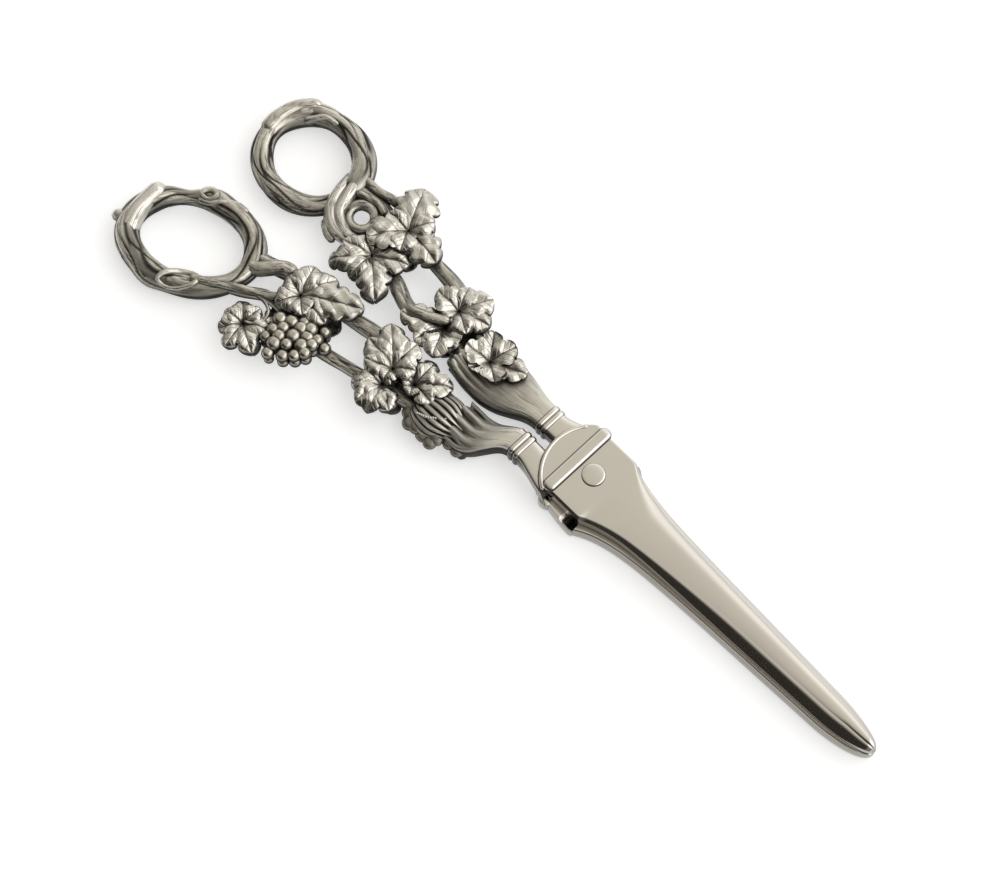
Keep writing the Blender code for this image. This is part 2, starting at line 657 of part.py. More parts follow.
def grape_bunch(material):
    """All the grapes of the bunch, run together round a solid heart as they are cast."""
    middle = (*BUNCH_CENTRE, bunch_height())
    heart = ball(middle, GRAPE_RADIUS, [BUNCH_HEART * r / GRAPE_RADIUS for r in BUNCH_RADII] + [BUNCH_HEART])
    bunch = make_object("left_grape_bunch", heart, material)
    return combine(bunch, [make_object("grape", ball(p, GRAPE_RADIUS)) for p in bunch_places()], "UNION")


def berry_row(material):
    """The row of berries along the folded leaf's lower edge."""
    places = smooth_path(at_height(BERRY_LINE), 2)
    row = make_object("left_berry_row", ball(places[0], BERRY_RADIUS), material)
    return combine(row, [make_object("berry", ball(p, BERRY_RADIUS)) for p in places[1:]], "UNION")


def folded_leaf(material):
    """A leaf rolled round on itself beside the left calyx, with ribs along it."""
    rings = []
    for x, y, half in FOLDED_LEAF:
        ring = []
        for k in range(20):
            a = math.tau * k / 20
            reach = half * (1 + 0.06 * (1 if k % 2 else -1))
            ring.append((x, y + reach * math.cos(a), ARM_Z + 0.3 + 0.6 * reach * math.sin(a)))
        rings.append(ring)
    return make_object("left_folded_leaf", loft(rings), material)


def front_leaves(table, pieces, blade, material):
    """Sets leaves on the front of an arm, each clear of the pieces before it."""
    for name, (centre, lift, lobes) in table.items():
        pieces.append(seat(leaf(name, centre, LEAF_Z + lift, lobes, material), [blade] + pieces))


def back_leaves(table, pieces, material):
    """Sets leaves under an arm, where they lie on the resting plane."""
    for name, (centre, lobes) in table.items():
        pieces.append(seat(leaf(name, centre, BACK_LEAF_Z, lobes, material, -1), pieces))


def right_handle(blade, material):
    """The right arm's vine, from the calyx to the finger bow."""
    cup = calyx("right_calyx", RIGHT_NECK_Y, RIGHT_CALYX_END, RIGHT_CALYX_HALF_WIDTH, RIGHT_CALYX_SHAPE,
                material)
    ring = bow("right_bow", RIGHT_BOW_CENTRE, RIGHT_BOW_RADII, RIGHT_BOW_TILT,
               ((125, 0.35, 14), (80, 0.25, 16)), material)
    cx, cy = RIGHT_BOW_CENTRE
    rx, ry = RIGHT_BOW_RADII
    stub_z = ARM_Z + 0.4 * BOW_TUBE_RADIUS
    combine(ring, [stub((cx - rx, cy + 0.05 * ry, stub_z), (cx - 0.74 * rx, cy + 0.92 * ry, stub_z),
                        0.95 * BOW_TUBE_RADIUS, 0.62 * BOW_TUBE_RADIUS)], "UNION")
    start = RIGHT_CALYX_END[0] + STEM_INTO_CALYX
    end = cx + rx - BOW_TUBE_RADIUS / 2
    outer = vine("right_outer_branch", at_height([(start, 4.0), *RIGHT_OUTER_STEM, (end, 9.6)]), BRANCH_RADIUS,
                 material)
    inner = vine("right_inner_branch", at_height([(start, -0.6), *RIGHT_INNER_STEM, (end, 3.0)]), BRANCH_RADIUS,
                 material, 1.0, 0.92)
    for branch in (outer, inner):
        seat(branch, [cup, ring])
    cross = vine("right_cross_vine", at_height(RIGHT_CROSS_VINE), 0.7 * BRANCH_RADIUS, material)
    seat(cross, [ring, outer, inner])
    bud = vine("right_bud", at_height(RIGHT_BUD, ARM_Z + 0.7), TWIG_RADIUS, material, 1.1, 0.9)
    seat(bud, [inner, ring])
    pieces = [cup, ring, outer, inner, cross, bud]
    front_leaves(RIGHT_LEAVES, pieces, blade, material)
    back_leaves(RIGHT_BACK_LEAVES, pieces, material)
    return pieces


def left_handle(blade, others, material):
    """The left arm's vine, from the calyx to the finger bow, with the grapes."""
    cup = calyx("left_calyx", LEFT_NECK_Y, LEFT_CALYX_END, LEFT_CALYX_HALF_WIDTH, LEFT_CALYX_SHAPE, material)
    ring = bow("left_bow", LEFT_BOW_CENTRE, LEFT_BOW_RADII, LEFT_BOW_TILT,
               ((85, 0.3, 10), (250, 0.5, 12), (120, 0.3, 12)), material)
    cx, cy = LEFT_BOW_CENTRE
    rx, ry = LEFT_BOW_RADII
    stub_z = ARM_Z + 0.4 * BOW_TUBE_RADIUS
    combine(ring, [stub((cx - 0.9 * rx, cy - 0.32 * ry, stub_z), (cx - 1.01 * rx, cy + 0.44 * ry, stub_z),
                        0.9 * BOW_TUBE_RADIUS, 0.8 * BOW_TUBE_RADIUS),
                   stub((cx - 0.84 * rx, cy - 0.63 * ry, ARM_Z), (cx - 1.11 * rx, cy - 0.76 * ry, ARM_Z),
                        0.62 * BOW_TUBE_RADIUS, 0.52 * BOW_TUBE_RADIUS)], "UNION")
    start = LEFT_CALYX_END[0] + STEM_INTO_CALYX
    inner = vine("left_inner_branch", at_height([(start, -8.6), *LEFT_INNER_STEM, (cx + rx, -14.6)]),
                 BRANCH_RADIUS, material)
    outer = vine("left_outer_branch", at_height([(start, -12.2), *LEFT_OUTER_STEM, (cx + 0.88 * rx, -24.0)]),
                 BRANCH_RADIUS, material, 1.0, 0.62)
    for branch in (inner, outer):
        seat(branch, [cup, ring])
    pieces = [cup, ring, inner, outer]
    twig = vine("left_twig", at_height(LEFT_TWIG, ARM_Z + BOW_TUBE_RADIUS + 0.2 * TWIG_RADIUS), TWIG_RADIUS,
                material, 0.9, 1.4)
    for piece in (berry_row(material), folded_leaf(material), grape_bunch(material), twig):
        pieces.append(seat(piece, pieces))
    front_leaves(LEFT_LEAVES, pieces, blade, material)
    tendril = vine("left_tendril", at_height(LEFT_TENDRIL, ARM_Z + 0.7), TENDRIL_RADIUS, material)
    pieces.append(seat(tendril, pieces))
    front_leaves(LEFT_LAST_LEAVES, pieces, blade, material)
    back_leaves(LEFT_BACK_LEAVES, pieces, material)
    for piece in pieces:
        seat(piece, others, REST_GAP)
    return pieces


def main():
    clear_scene()
    polished = silver("polished_silver", (0.80, 0.77, 0.72), 0.12)
    chased = silver("chased_silver", (0.62, 0.59, 0.55), 0.3)
    upper = upper_blade(polished)
    lower = lower_blade(polished)
    rivet = make_object("pivot_rivet", turned(rivet_profile()), polished)
    right = right_handle(upper, chased)
    left = left_handle(lower, right, chased)
    for pieces, angle in (([upper, lower, rivet], 35), (right + left, 50)):
        for piece in pieces:
            piece.data.shade_smooth()
            piece.data.set_sharp_from_angle(angle=math.radians(angle))


main()
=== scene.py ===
"""Vine-handled grape shears in silver, lying closed on a pale floor. Shapes are in millimetres.

Every piece is made in the row frame, rides on one half of the shears and stands for the CAD node whose
name it carries. +X runs from the pivot to the blade tips, and the left arm (at -Y) is the lower half's.
"""

import math
import random

import bmesh
import bpy
import numpy as np
from mathutils import Euler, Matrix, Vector


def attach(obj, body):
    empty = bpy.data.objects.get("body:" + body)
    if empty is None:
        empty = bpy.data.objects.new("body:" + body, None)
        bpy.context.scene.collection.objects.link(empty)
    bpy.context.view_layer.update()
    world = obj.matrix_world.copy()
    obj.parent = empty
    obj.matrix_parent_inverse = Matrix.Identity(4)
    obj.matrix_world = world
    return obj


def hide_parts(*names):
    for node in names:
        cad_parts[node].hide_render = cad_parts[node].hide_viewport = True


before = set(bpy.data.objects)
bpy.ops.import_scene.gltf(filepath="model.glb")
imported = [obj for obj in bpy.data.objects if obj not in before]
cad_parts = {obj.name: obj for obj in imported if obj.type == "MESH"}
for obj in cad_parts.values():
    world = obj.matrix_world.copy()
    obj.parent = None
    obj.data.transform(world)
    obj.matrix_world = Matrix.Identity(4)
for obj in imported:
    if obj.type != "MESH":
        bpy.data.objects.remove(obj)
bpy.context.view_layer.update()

MM = 0.001
LOWER, UPPER = "lower_half", "upper_half"

# Blades
BLADE_LENGTH = 73.5
HEEL_X = 4.0
HEEL_HALF_WIDTH = 5.3
TIP_HALF_WIDTH = 2.85
LEAST_HALF_WIDTH = 0.02  # at the very tip
HEEL_FLARE = 2.65
HEEL_FLARE_LENGTH = 5.3
TIP_ROUNDING = 12.0
LOWER_INNER = 3.2
UPPER_INNER = 3.4
UPPER_FACE = 6.6
TIP_THINNING = 0.6
TIP_THICKNESS = 0.35  # of the upper blade at its very end
CUTTING_ROLL = 4.2  # width over which the face rolls down to the right edge
CUTTING_ROLL_DROP = 1.1
CUTTING_EDGE = 0.65  # the bevel along the right edge
LEAST_WALL = 0.3  # of the upper blade's sides under its bevels
INNER_EDGE = 0.08  # the bevel along the upper blade's inner edges
PLATE_SHIFT = 0.35  # how far the lap plate sits to the left
BACK_BEVEL_HEEL = 0.75  # width of the left bevel, which widens towards the tip
BACK_BEVEL_TIP = 1.7
FACE_CROWN = 0.28  # how far the face falls towards the left bevel
LOWER_FLANGE = 0.85
HEEL_FLANGE = 1.4
HEEL_FLANGE_LENGTH = 9.0
# The lower blade's side from its inner face down: how far in from the edge, and how high
LOWER_SIDE = ((0.5, LOWER_INNER), (0.5, 2.78), (0.47, 2.7), (0.24, 2.7), (0.2, 2.62), (0.0, 0.5),
              (0.05, 0.25), (0.2, 0.07), (0.45, 0.0))
BLADE_SHARP = 32.0  # edges of the blades and rivet over this angle stay sharp

# Lap joint and necks
LAP_RADIUS = 10.4
SHOULDER_RADIUS = 10.62
LAP_HALF_WIDTH = 8.0
LAP_EDGE = 0.45
BAR_X = -4.35
BAR_HALF_WIDTH = 1.42
BAR_HEIGHT = 0.8
BAR_HALF_LENGTH = 8.6
NOTCH_X = 4.4  # the lower half's left side is sunk behind this
STOP_REACH = 0.9  # how far its right shoulder stands out there
# The lower half's left wall at the lap: distance from the pivot, and how far it stands out
LAP_WALL = ((-9.5, 4.0), (-6.5, 9.0), (-4.5, 9.3), (-2.9, 9.6), (0.8, 10.2), (3.6, 10.4), (NOTCH_X, 10.2))
RIVET_RADIUS = 2.3
RIVET_PROUD = 0.36
SEAM_SHADE = -0.95  # painted shade round the rivet's wall and along the bar's feet
NECK_END_X = -16.0
NECK_HALF_WIDTH = 2.7
NECK_HALF_HEIGHT = 2.45
NECK_SIDES = 48
NECK_SQUARENESS = 0.42  # power that draws a neck's section out from a circle towards a square
RIGHT_NECK_Y = 2.4
LEFT_NECK_Y = -5.2
COLLAR_GAP = 0.04  # between a neck and the calyx that covers it
RING_XS = (-14.75, -13.45)
RING_PROUD = 0.35
RING_HALF_LENGTH = 0.6

# Handles
ARM_Z = 3.3  # height of the arms' middle
BRANCH_RADIUS = 1.6
STEM_BARK = 0.16  # depth of the stems' grooves
STEM_STEP = 0.35  # between the rings of points along a stem
STEM_SIDES = 28  # points in such a ring
STEM_END = math.sqrt(0.003)  # share of its radius that a rounded stem keeps at its end
LET_IN, ROUNDED = False, True  # how a stem ends
BOW_TUBE_RADIUS = 2.25
BOW_BARK = 0.24
BOW_SIDES = 72
TWIG_HEIGHT = BOW_TUBE_RADIUS + 0.2  # of the twig that lies over the left bow
LEAF_Z = 6.3  # where a front leaf's veins meet, before its own lift
BACK_LEAF_Z = 0.9
LEAF_THICKNESS = 1.1
NOTCH_DEPTH = 0.34  # of the notches in a leaf's edge
SIDE_VEINS = 4.2  # along each lobe
VEIN_LEAN = 0.8  # how far side veins lean towards the lobe's tip
FLOOR_CLEARANCE = 0.03  # of the back leaves

# Silver and floor
RUBBED = (0.89, 0.865, 0.81, 1)
POLISHED = (0.90, 0.865, 0.81, 1)
POLISHED_CLOUD = (0.86, 0.825, 0.78, 1)
# Colours of painted shade: a dull grey for the blades' crevices and side walls, a near-black for their seams,
# neck walls and notch, and a near-black, less metallic, for the chased pieces' tarnish and their painted
# shade in crevices, on flanks and undersides
PAINTED_SHADE = (0.10, 0.09, 0.078, 1)
TARNISH_AND_SHADE = (0.02, 0.017, 0.014, 1)
BLADE_SHADE_BLACK = (0.012, 0.011, 0.01, 1)
TARNISH_AND_SHADE_METALLIC = 0.15
SPECULAR = 0.12
FLOOR_WHITE = 0.53  # how much of the floor's white is its own
SKY_REACH = 1.2  # how far a sky's weighted directions run either way


class Skin:
    """A piece being made: points, faces, where each point is in the chasing, and its wear and painted shade.

    Wear is 1 where the silver is rubbed bright and -1 where it is tarnished or where shade is painted on, as
    on side walls, undersides, seams and in the notch.
    """

    def __init__(self):
        self.points, self.marks, self.wear_and_shade, self.faces = [], [], [], []
        self.count = 0

    def rings(self, points, marks=None, closed=False, wear_and_shade=0.0):
        """Adds rings of points in a row. The last joins the first if closed, or else both are capped."""
        points = np.asarray(points, float)
        rows, columns = points.shape[:2]
        marks = np.zeros(points.shape) if marks is None else np.asarray(marks, float)
        index = self.count + np.arange(rows * columns).reshape(rows, columns)
        self.points.append(points.reshape(-1, 3))
        self.marks.append(marks.reshape(-1, 3))
        self.wear_and_shade.append(np.broadcast_to(np.asarray(wear_and_shade, float), (rows, columns)).ravel())
        self.count += rows * columns
        if not closed:
            self.faces.append(index[0][::-1].tolist())
            self.faces.append(index[-1].tolist())
        index = np.hstack([index, index[:, :1]])
        if closed:
            index = np.vstack([index, index[:1]])
        corners = [index[:-1, :-1], index[:-1, 1:], index[1:, 1:], index[1:, :-1]]
        self.faces.extend(np.stack(corners, -1).reshape(-1, 4).tolist())


def new_object(name, data):
    """An object in the scene."""
    item = bpy.data.objects.new(name, data)
    bpy.context.scene.collection.objects.link(item)
    return item


def make_piece(node, skin, material, sharp=50.0):
    """The dressed piece that stands for a CAD node. The upper half has the upper blade and right arm."""
    body = UPPER if node.startswith(("upper", "right")) else LOWER
    mesh = bpy.data.meshes.new(node + "_dressed")
    mesh.from_pydata((np.vstack(skin.points) * MM).tolist(), [], skin.faces)
    chase = mesh.attributes.new("chase", "FLOAT_VECTOR", "POINT")
    chase.data.foreach_set("vector", np.vstack(skin.marks).ravel())
    wear_and_shade = mesh.attributes.new("wear_and_shade", "FLOAT", "POINT")
    wear_and_shade.data.foreach_set("value", np.concatenate(skin.wear_and_shade))
    bm = bmesh.new()
    bm.from_mesh(mesh)
    bmesh.ops.recalc_face_normals(bm, faces=bm.faces)
    bm.to_mesh(mesh)
    bm.free()
    mesh.materials.append(material)
    mesh.shade_smooth()
    mesh.set_sharp_from_angle(angle=math.radians(sharp))
    piece = new_object(node + "_dressed", mesh)
    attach(piece, body)
    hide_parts(node)


def blend(start, end, share):
    return start + (end - start) * share


def smooth_step(value, low, high):
    t = np.clip((value - low) / (high - low), 0.0, 1.0)
    return t * t * (3 - 2 * t)


def signed_power(value, power):
    return np.sign(value) * np.abs(value) ** power


def bell(off, width):
    """1 in the middle, and falling away over a width to both sides."""
    return np.exp(-((off / width) ** 2))


def smoothed(values, ends):
    """A running mean over nine values, padded at both ends in one of numpy's ways."""
    return np.convolve(np.pad(values, 4, mode=ends), np.ones(9) / 9, mode="valid")


def length_along(points):
    """How far along a path each of its points is."""
    return np.concatenate([[0], np.cumsum(np.linalg.norm(np.diff(points, axis=0), axis=1))])


def rounding(distance, radius):
    """Share of its full size that a shape has at a distance from its end, which is rounded over a radius."""
    return np.sqrt(np.clip(1 - np.clip(1 - distance / radius, 0, 1) ** 2, 0, 1))


def circle(count):
    """That many angles, evenly spread round a circle, with their cosines and sines."""
    angle = np.linspace(0, math.tau, count, endpoint=False)
    return angle, np.cos(angle), np.sin(angle)


def turned(u, v, degrees):
    """Lengths along two directions in a plane, after they turn by an angle."""
    c, s = math.cos(math.radians(degrees)), math.sin(math.radians(degrees))
    return u * c - v * s, u * s + v * c


def curve(points, count):
    """That many points, evenly spread, on a smooth curve through the given ones."""
    p = np.asarray(points, float)
    p = np.vstack([2 * p[0] - p[1], p, 2 * p[-1] - p[-2]])
    t = np.linspace(0, 1, 24, endpoint=False)[:, None]
    spans = []
    for a, b, c, d in zip(p, p[1:], p[2:], p[3:]):
        spans.append(0.5 * (2 * b + (c - a) * t + (2 * a - 5 * b + 4 * c - d) * t**2
                            + (3 * b - a - 3 * c + d) * t**3))
    fine = np.vstack(spans + [p[-2:-1]])
    length = length_along(fine)
    at = np.linspace(0, length[-1], count)
    return np.stack([np.interp(at, length, fine[:, k]) for k in range(3)], 1)


def tube(skin, path, radius, sides, closed=False, relief=0.0, wear_and_shade=0.0):
    """Adds a stem along a path.

    Radius has a value for each point of the path, and relief one for each point round it.
    """
    path = np.asarray(path, float)
    ahead = np.roll(path, -1, 0) - np.roll(path, 1, 0) if closed else np.gradient(path, axis=0)
    ahead /= np.linalg.norm(ahead, axis=1)[:, None]
    across = np.cross(ahead, (0, 0, 1.0))
    across /= np.linalg.norm(across, axis=1)[:, None]
    over = np.cross(across, ahead)
    _, c, s = circle(sides)
    out = c[None, :, None] * across[:, None] + s[None, :, None] * over[:, None]
    reach = np.broadcast_to(np.asarray(radius, float).reshape(-1, 1), (len(path), sides)) + relief
    size = float(np.mean(reach))
    marks = np.stack(np.broadcast_arrays(length_along(path)[:, None], size * c, size * s), -1)
    skin.rings(path[:, None] + reach[:, :, None] * out, marks, closed, wear_and_shade)


def round_ends(length, radius, count):
    """Shares of a stem's radius along it that round its ends off."""
    at = np.linspace(0, length, count)
    return np.maximum(STEM_END, rounding(np.minimum(at, length - at), radius))


def bark(rows, sides, seed, depth, lines):
    """Relief of bark round a stem: grooves that wander along it, come and go, and leave strands between."""
    rng = random.Random(seed)
    t = np.linspace(0, 1, rows, endpoint=False)[:, None]
    angle = circle(sides)[0][None, :]
    relief = np.zeros((rows, sides))
    for i in range(lines):
        start = math.tau * (i + rng.uniform(-0.3, 0.3)) / lines
        wander = 0.35 * np.sin(math.tau * (2 * t + rng.random()))
        wander = wander + 0.2 * np.sin(math.tau * (5 * t + rng.random()))
        off = (angle - start - wander + math.pi) % math.tau - math.pi
        shown = 0.3 + 0.7 * np.sin(math.tau * (rng.choice((2, 3, 5)) * t + rng.random()))
        relief -= depth * np.clip(shown, 0, 1) * bell(off, rng.uniform(0.07, 0.15))
    for wave in (2, 3):
        relief += 0.16 * depth * np.cos(wave * angle + math.tau * (wave * t + rng.random()))
    return relief


def bark_wear(relief, depth):
    """Bark is rubbed on its ridges and tarnished in its grooves."""
    return np.clip(1.6 * relief / depth, -0.8, 0.5)


def level(points, height=0.0):
    """Points at one height from the arms' middle."""
    return [(x, y, height) for x, y in points]


def stem(skin, points, radius, seed, sides, taper, rounded=ROUNDED, depth=STEM_BARK, wear_and_shade=0.0):
    """Adds a bark-covered stem through points, whose heights are from the arms' middle."""
    length = length_along(points)[-1]
    count = max(8, int(length / STEM_STEP))
    share = np.linspace(1, taper, count)
    if rounded:
        share = round_ends(length, radius, count) * share
    swell = 1 + 0.06 * np.sin(np.linspace(0, length / 2.6, count) + seed)
    deep = depth * min(1.0, radius)
    relief = bark(count, sides, seed, deep, max(4, int(4 * radius))) * share[:, None]
    wear_and_shade = wear_and_shade + (1 - wear_and_shade) * bark_wear(relief, deep)
    tube(skin, curve(points, count) + (0, 0, ARM_Z), radius * share * swell, sides, relief=relief, wear_and_shade=wear_and_shade)


def blade_half_width(x):
    """Half width of the upper blade, or of its lap plate behind the heel."""
    if x < HEEL_X:
        half = min(LAP_HALF_WIDTH, math.sqrt(max(0.0, LAP_RADIUS**2 - x**2)))
    else:
        taper = blend(HEEL_HALF_WIDTH, TIP_HALF_WIDTH, (x - HEEL_X) / (BLADE_LENGTH - HEEL_X))
        flare = HEEL_FLARE * math.exp(-(x - HEEL_X) / HEEL_FLARE_LENGTH)
        half = (taper + flare) * rounding(BLADE_LENGTH - x, TIP_ROUNDING)
    return max(LEAST_HALF_WIDTH, half)


def blade_stations():
    """Distances from the pivot at which the blades' sections are drawn."""
    dome = -LAP_RADIUS * np.cos(np.linspace(0, 0.95, 26))
    plate = np.arange(dome[-1] + 0.25, HEEL_X - 1.2, 0.25)
    notch = (NOTCH_X - 0.01, NOTCH_X + 0.01)
    heel = np.sort(np.append(np.arange(HEEL_X - 1.2, HEEL_X + 4, 0.2), notch))
    blade = np.arange(HEEL_X + 4, BLADE_LENGTH - TIP_ROUNDING, 0.9)
    tip = BLADE_LENGTH - TIP_ROUNDING + TIP_ROUNDING * np.sin(np.linspace(0, math.pi / 2, 44))
    return np.concatenate([dome, plate, heel, blade, tip])


def chamfer(edge_y, edge_z, inner_y, inner_z, softness):
    """Points up a chamfer whose upper edge is softened into the face."""
    edge, inner = np.array((edge_y, edge_z)), np.array((inner_y, inner_z))
    points = [blend(edge, inner, t * (1 - softness)) for t in np.linspace(0, 1, 5)]
    start = points[-1]
    end = np.array((inner_y + (inner_y - edge_y) * softness, inner_z))
    for t in np.linspace(0, 1, 9)[1:]:
        points.append((1 - t) ** 2 * start + 2 * t * (1 - t) * inner + t * t * end)
    return points


def rolled_edge(half, face, width, drop, bevel):
    """Points up a bevelled edge and on over a roll that flattens into the face."""
    points = [(half, face - drop - bevel), (half - 0.5 * bevel, face - drop - 0.45 * bevel)]
    for inward in np.linspace(0, 1, 16):
        points.append((half - bevel - width * inward, face - drop * (1 - inward) ** 3))
    return points


def upper_section(x):
    """Points round the upper blade at a distance from the pivot, from its right edge to its left."""
    half = blade_half_width(x)
    blade = smooth_step(x, HEEL_X - 0.9, HEEL_X + 1.6)
    roll = smooth_step(x, HEEL_X - 2.0, HEEL_X + 12.0)
    along = max(0.0, (x - HEEL_X) / (BLADE_LENGTH - HEEL_X))
    end_share = rounding(BLADE_LENGTH - x, 2.2)
    face = blend(UPPER_INNER + TIP_THICKNESS, UPPER_FACE - TIP_THINNING * along, end_share)
    room = face - UPPER_INNER - LEAST_WALL
    bevel = min(CUTTING_EDGE * roll * end_share, 0.2 * half)
    right = min(blend(LAP_EDGE, CUTTING_ROLL, roll), 0.7 * half)
    right_drop = min(blend(LAP_EDGE, CUTTING_ROLL_DROP, roll), room - bevel)
    right_side = rolled_edge(half, face, right, right_drop, bevel)
    back_bevel = blend(BACK_BEVEL_HEEL, BACK_BEVEL_TIP, smooth_step(along, 0.0, 0.55))
    left = min(blend(LAP_EDGE, back_bevel, blade), 0.6 * half)
    left_drop = min(1.05 * left, room)
    fall = FACE_CROWN * blade * end_share
    left_side = [(-y, z) for y, z in chamfer(half, face - left_drop, half - left, face - fall, 0.33)]
    top = []
    for t in np.linspace(0, 1, 18)[1:-1]:
        top.append((blend(right_side[-1][0], left_side[-1][0], t), face - fall * t * t))
    right_foot = [(half - INNER_EDGE, UPPER_INNER), (half, UPPER_INNER + INNER_EDGE)]
    left_foot = [(-y, z) for y, z in right_foot[::-1]]
    outline = right_foot + right_side + top + left_side[::-1] + left_foot
    shift = PLATE_SHIFT * smooth_step(x, -8.0, -4.0) * (1 - smooth_step(x, 4.0, 14.0))
    return [(y - shift, z) for y, z in outline]


def lower_left_edge(x, half):
    """How far the lower half stands out on the left: a lap wall up to the notch, then the blade's flange."""
    if x < NOTCH_X:
        wall = np.interp(x, *zip(*LAP_WALL))
        disc = min(9.4, math.sqrt(max(0.0, LAP_RADIUS**2 - x**2)))
        return max(wall, disc) if x < -4.5 else wall
    flange = LOWER_FLANGE + HEEL_FLANGE * math.exp(-(x - HEEL_X) / HEEL_FLANGE_LENGTH)
    return half + flange * rounding(BLADE_LENGTH - x, TIP_ROUNDING)


def lower_section(x):
    """Points round the lower blade, which is wider on the left than the upper and sunk behind the notch."""
    half = blade_half_width(x)
    left_edge = max(half, lower_left_edge(x, half))
    right_edge = half + STOP_REACH * bell(x - NOTCH_X, 0.9 if x < NOTCH_X else 2.2)
    right = [(right_edge - min(inset, 0.8 * half), z) for inset, z in LOWER_SIDE]
    left = [(-(left_edge - min(inset, 0.8 * half)), z) for inset, z in LOWER_SIDE]
    if -3.0 < x < NOTCH_X:
        floor_z = 3.1 - 2.4 * smooth_step(x, 0.6, 3.4)
        rim = max(floor_z, 2.95 - 0.55 * smooth_step(x, -2.6, 2.0))
        left[:5] = [(-half, LOWER_INNER), (-half, floor_z), (0.6 - left_edge, floor_z),
                    (0.45 - left_edge, rim), (0.15 - left_edge, rim - 0.1)]
    end_share = 0.3 + 0.7 * rounding(BLADE_LENGTH - x, 0.8)
    return [(y, blend(LOWER_INNER / 2, z, end_share)) for y, z in right + left[::-1]]


def notch_shade(place):
    """Painted shade in the hollow at the lower half's left side, deepest against the blade's heel."""
    x, y, z = place
    inside = x < NOTCH_X and -9.9 < y < 0.02 - LAP_HALF_WIDTH and z < 2.2
    return -smooth_step(x, 1.0, 2.6) if inside else 0.0


def neck(skin, centre_y, outer, flare, root_x, cut_above):
    """Adds the shank from a handle to the lap joint, where it flares to its outer side, 1 or -1.

    Its half above the arms' middle, or the one below, ends at the other half's disc.
    """
    xs = [NECK_END_X - 0.5, NECK_END_X]
    for ring_x in RING_XS:
        xs += [ring_x + RING_HALF_LENGTH * k for k in (-1.15, -1, -0.9, -0.7, -0.4, 0, 0.4, 0.7, 0.9, 1)]
    flare_start = xs[-1]
    xs += [blend(flare_start, root_x, k) for k in np.linspace(0.08, 1, 16)]
    turn = math.tau * (np.arange(NECK_SIDES) + 0.5) / NECK_SIDES
    c, s = np.cos(turn), np.sin(turn)
    across, up = signed_power(c, NECK_SQUARENESS), signed_power(s, NECK_SQUARENESS)
    rows = []
    for x in xs:
        ring = max(rounding(RING_HALF_LENGTH - abs(x - ring_x), RING_HALF_LENGTH) for ring_x in RING_XS)
        proud = RING_PROUD * ring
        into = max(0.0, (x - flare_start) / (root_x - flare_start))
        spread = flare * into**1.6
        y = centre_y + outer * spread / 2 + (NECK_HALF_WIDTH + proud + spread / 2) * across
        z = ARM_Z + (NECK_HALF_HEIGHT + proud) * up
        disc = -np.sqrt(np.clip(SHOULDER_RADIUS**2 - y * y, 0, None))
        cut_x = np.minimum(x, blend(flare_start, disc, into))
        rows.append(np.stack([np.where((s > 0) == cut_above, cut_x, x), y, z], 1))
    # Painted shade on the neck's side walls, fading towards the lap
    wall_shade = -0.9 * smooth_step(np.abs(c), 0.72, 0.95)
    fade = 1 - 0.75 * smooth_step(np.array(xs), -12.0, -7.0)
    skin.rings(rows, wear_and_shade=fade[:, None] * wall_shade)


def flare_end(skin, x, y, half_x, half_y, low, high):
    """Adds the rounded end of the lower neck's flare, which stays under the upper half."""
    _, c, s = circle(NECK_SIDES)
    rows = []
    for size, z in ((0.9, low), (1.0, low + 0.3), (1.0, high - 0.6), (0.97, high - 0.3), (0.88, high - 0.1),
                    (0.7, high)):
        rows.append(np.stack([x + half_x * size * c, y + half_y * size * s, z + 0 * c], 1))
    skin.rings(rows)


def bar(skin):
    """Adds the flat-topped bar across the upper half, with painted shade along both its feet."""
    angles = np.linspace(0, math.pi, 25)
    across, rise = signed_power(np.cos(angles), 0.75), np.sin(angles) ** 0.6
    foot, top = UPPER_FACE - 0.9, UPPER_FACE - 0.05
    rows = []
    for y in BAR_HALF_LENGTH * np.sin(np.linspace(-math.pi / 2, math.pi / 2, 60)):
        size = max(0.05, rounding(BAR_HALF_LENGTH - abs(y), BAR_HALF_WIDTH))
        half = BAR_HALF_WIDTH * size
        arch = [(BAR_X + half * a, y, top + BAR_HEIGHT * size * r) for a, r in zip(across, rise)]
        rows.append(arch + [(BAR_X - half, y, foot), (BAR_X + half, y, foot)])
    skin.rings(rows, wear_and_shade=SEAM_SHADE * np.append(smooth_step(np.abs(across), 0.78, 0.92), (1, 1)))


def lip(skin):
    """Adds the rounded rim along the lap disc's back edge."""
    angles = np.radians(np.linspace(140, 243, 60))
    radius = LAP_RADIUS - 0.42
    path = np.stack([radius * np.cos(angles), radius * np.sin(angles), 0 * angles + UPPER_FACE - 0.28], 1)
    tube(skin, path, 0.48 * round_ends(20.0, 0.6, len(path)), 16)


def build_blades(material):
    """Both blades with their necks, and the upper one with its bar and rim."""
    upper, lower = Skin(), Skin()
    upper.rings([[(x, y, z) for y, z in upper_section(x)] for x in blade_stations()])
    neck(upper, RIGHT_NECK_Y, outer=1, flare=2.6, root_x=-6.5, cut_above=False)
    bar(upper)
    lip(upper)
    make_piece("upper_blade", upper, material, BLADE_SHARP)
    rows = [[(x, y, z) for y, z in lower_section(x)] for x in blade_stations()]
    lower.rings(rows, wear_and_shade=[[notch_shade(place) for place in row] for row in rows])
    neck(lower, LEFT_NECK_Y, outer=-1, flare=2.3, root_x=-2.9, cut_above=True)
    flare_end(lower, -3.75, -9.2, half_x=1.5, half_y=1.1, low=0.4, high=LOWER_INNER)
    make_piece("lower_blade", lower, material, BLADE_SHARP)


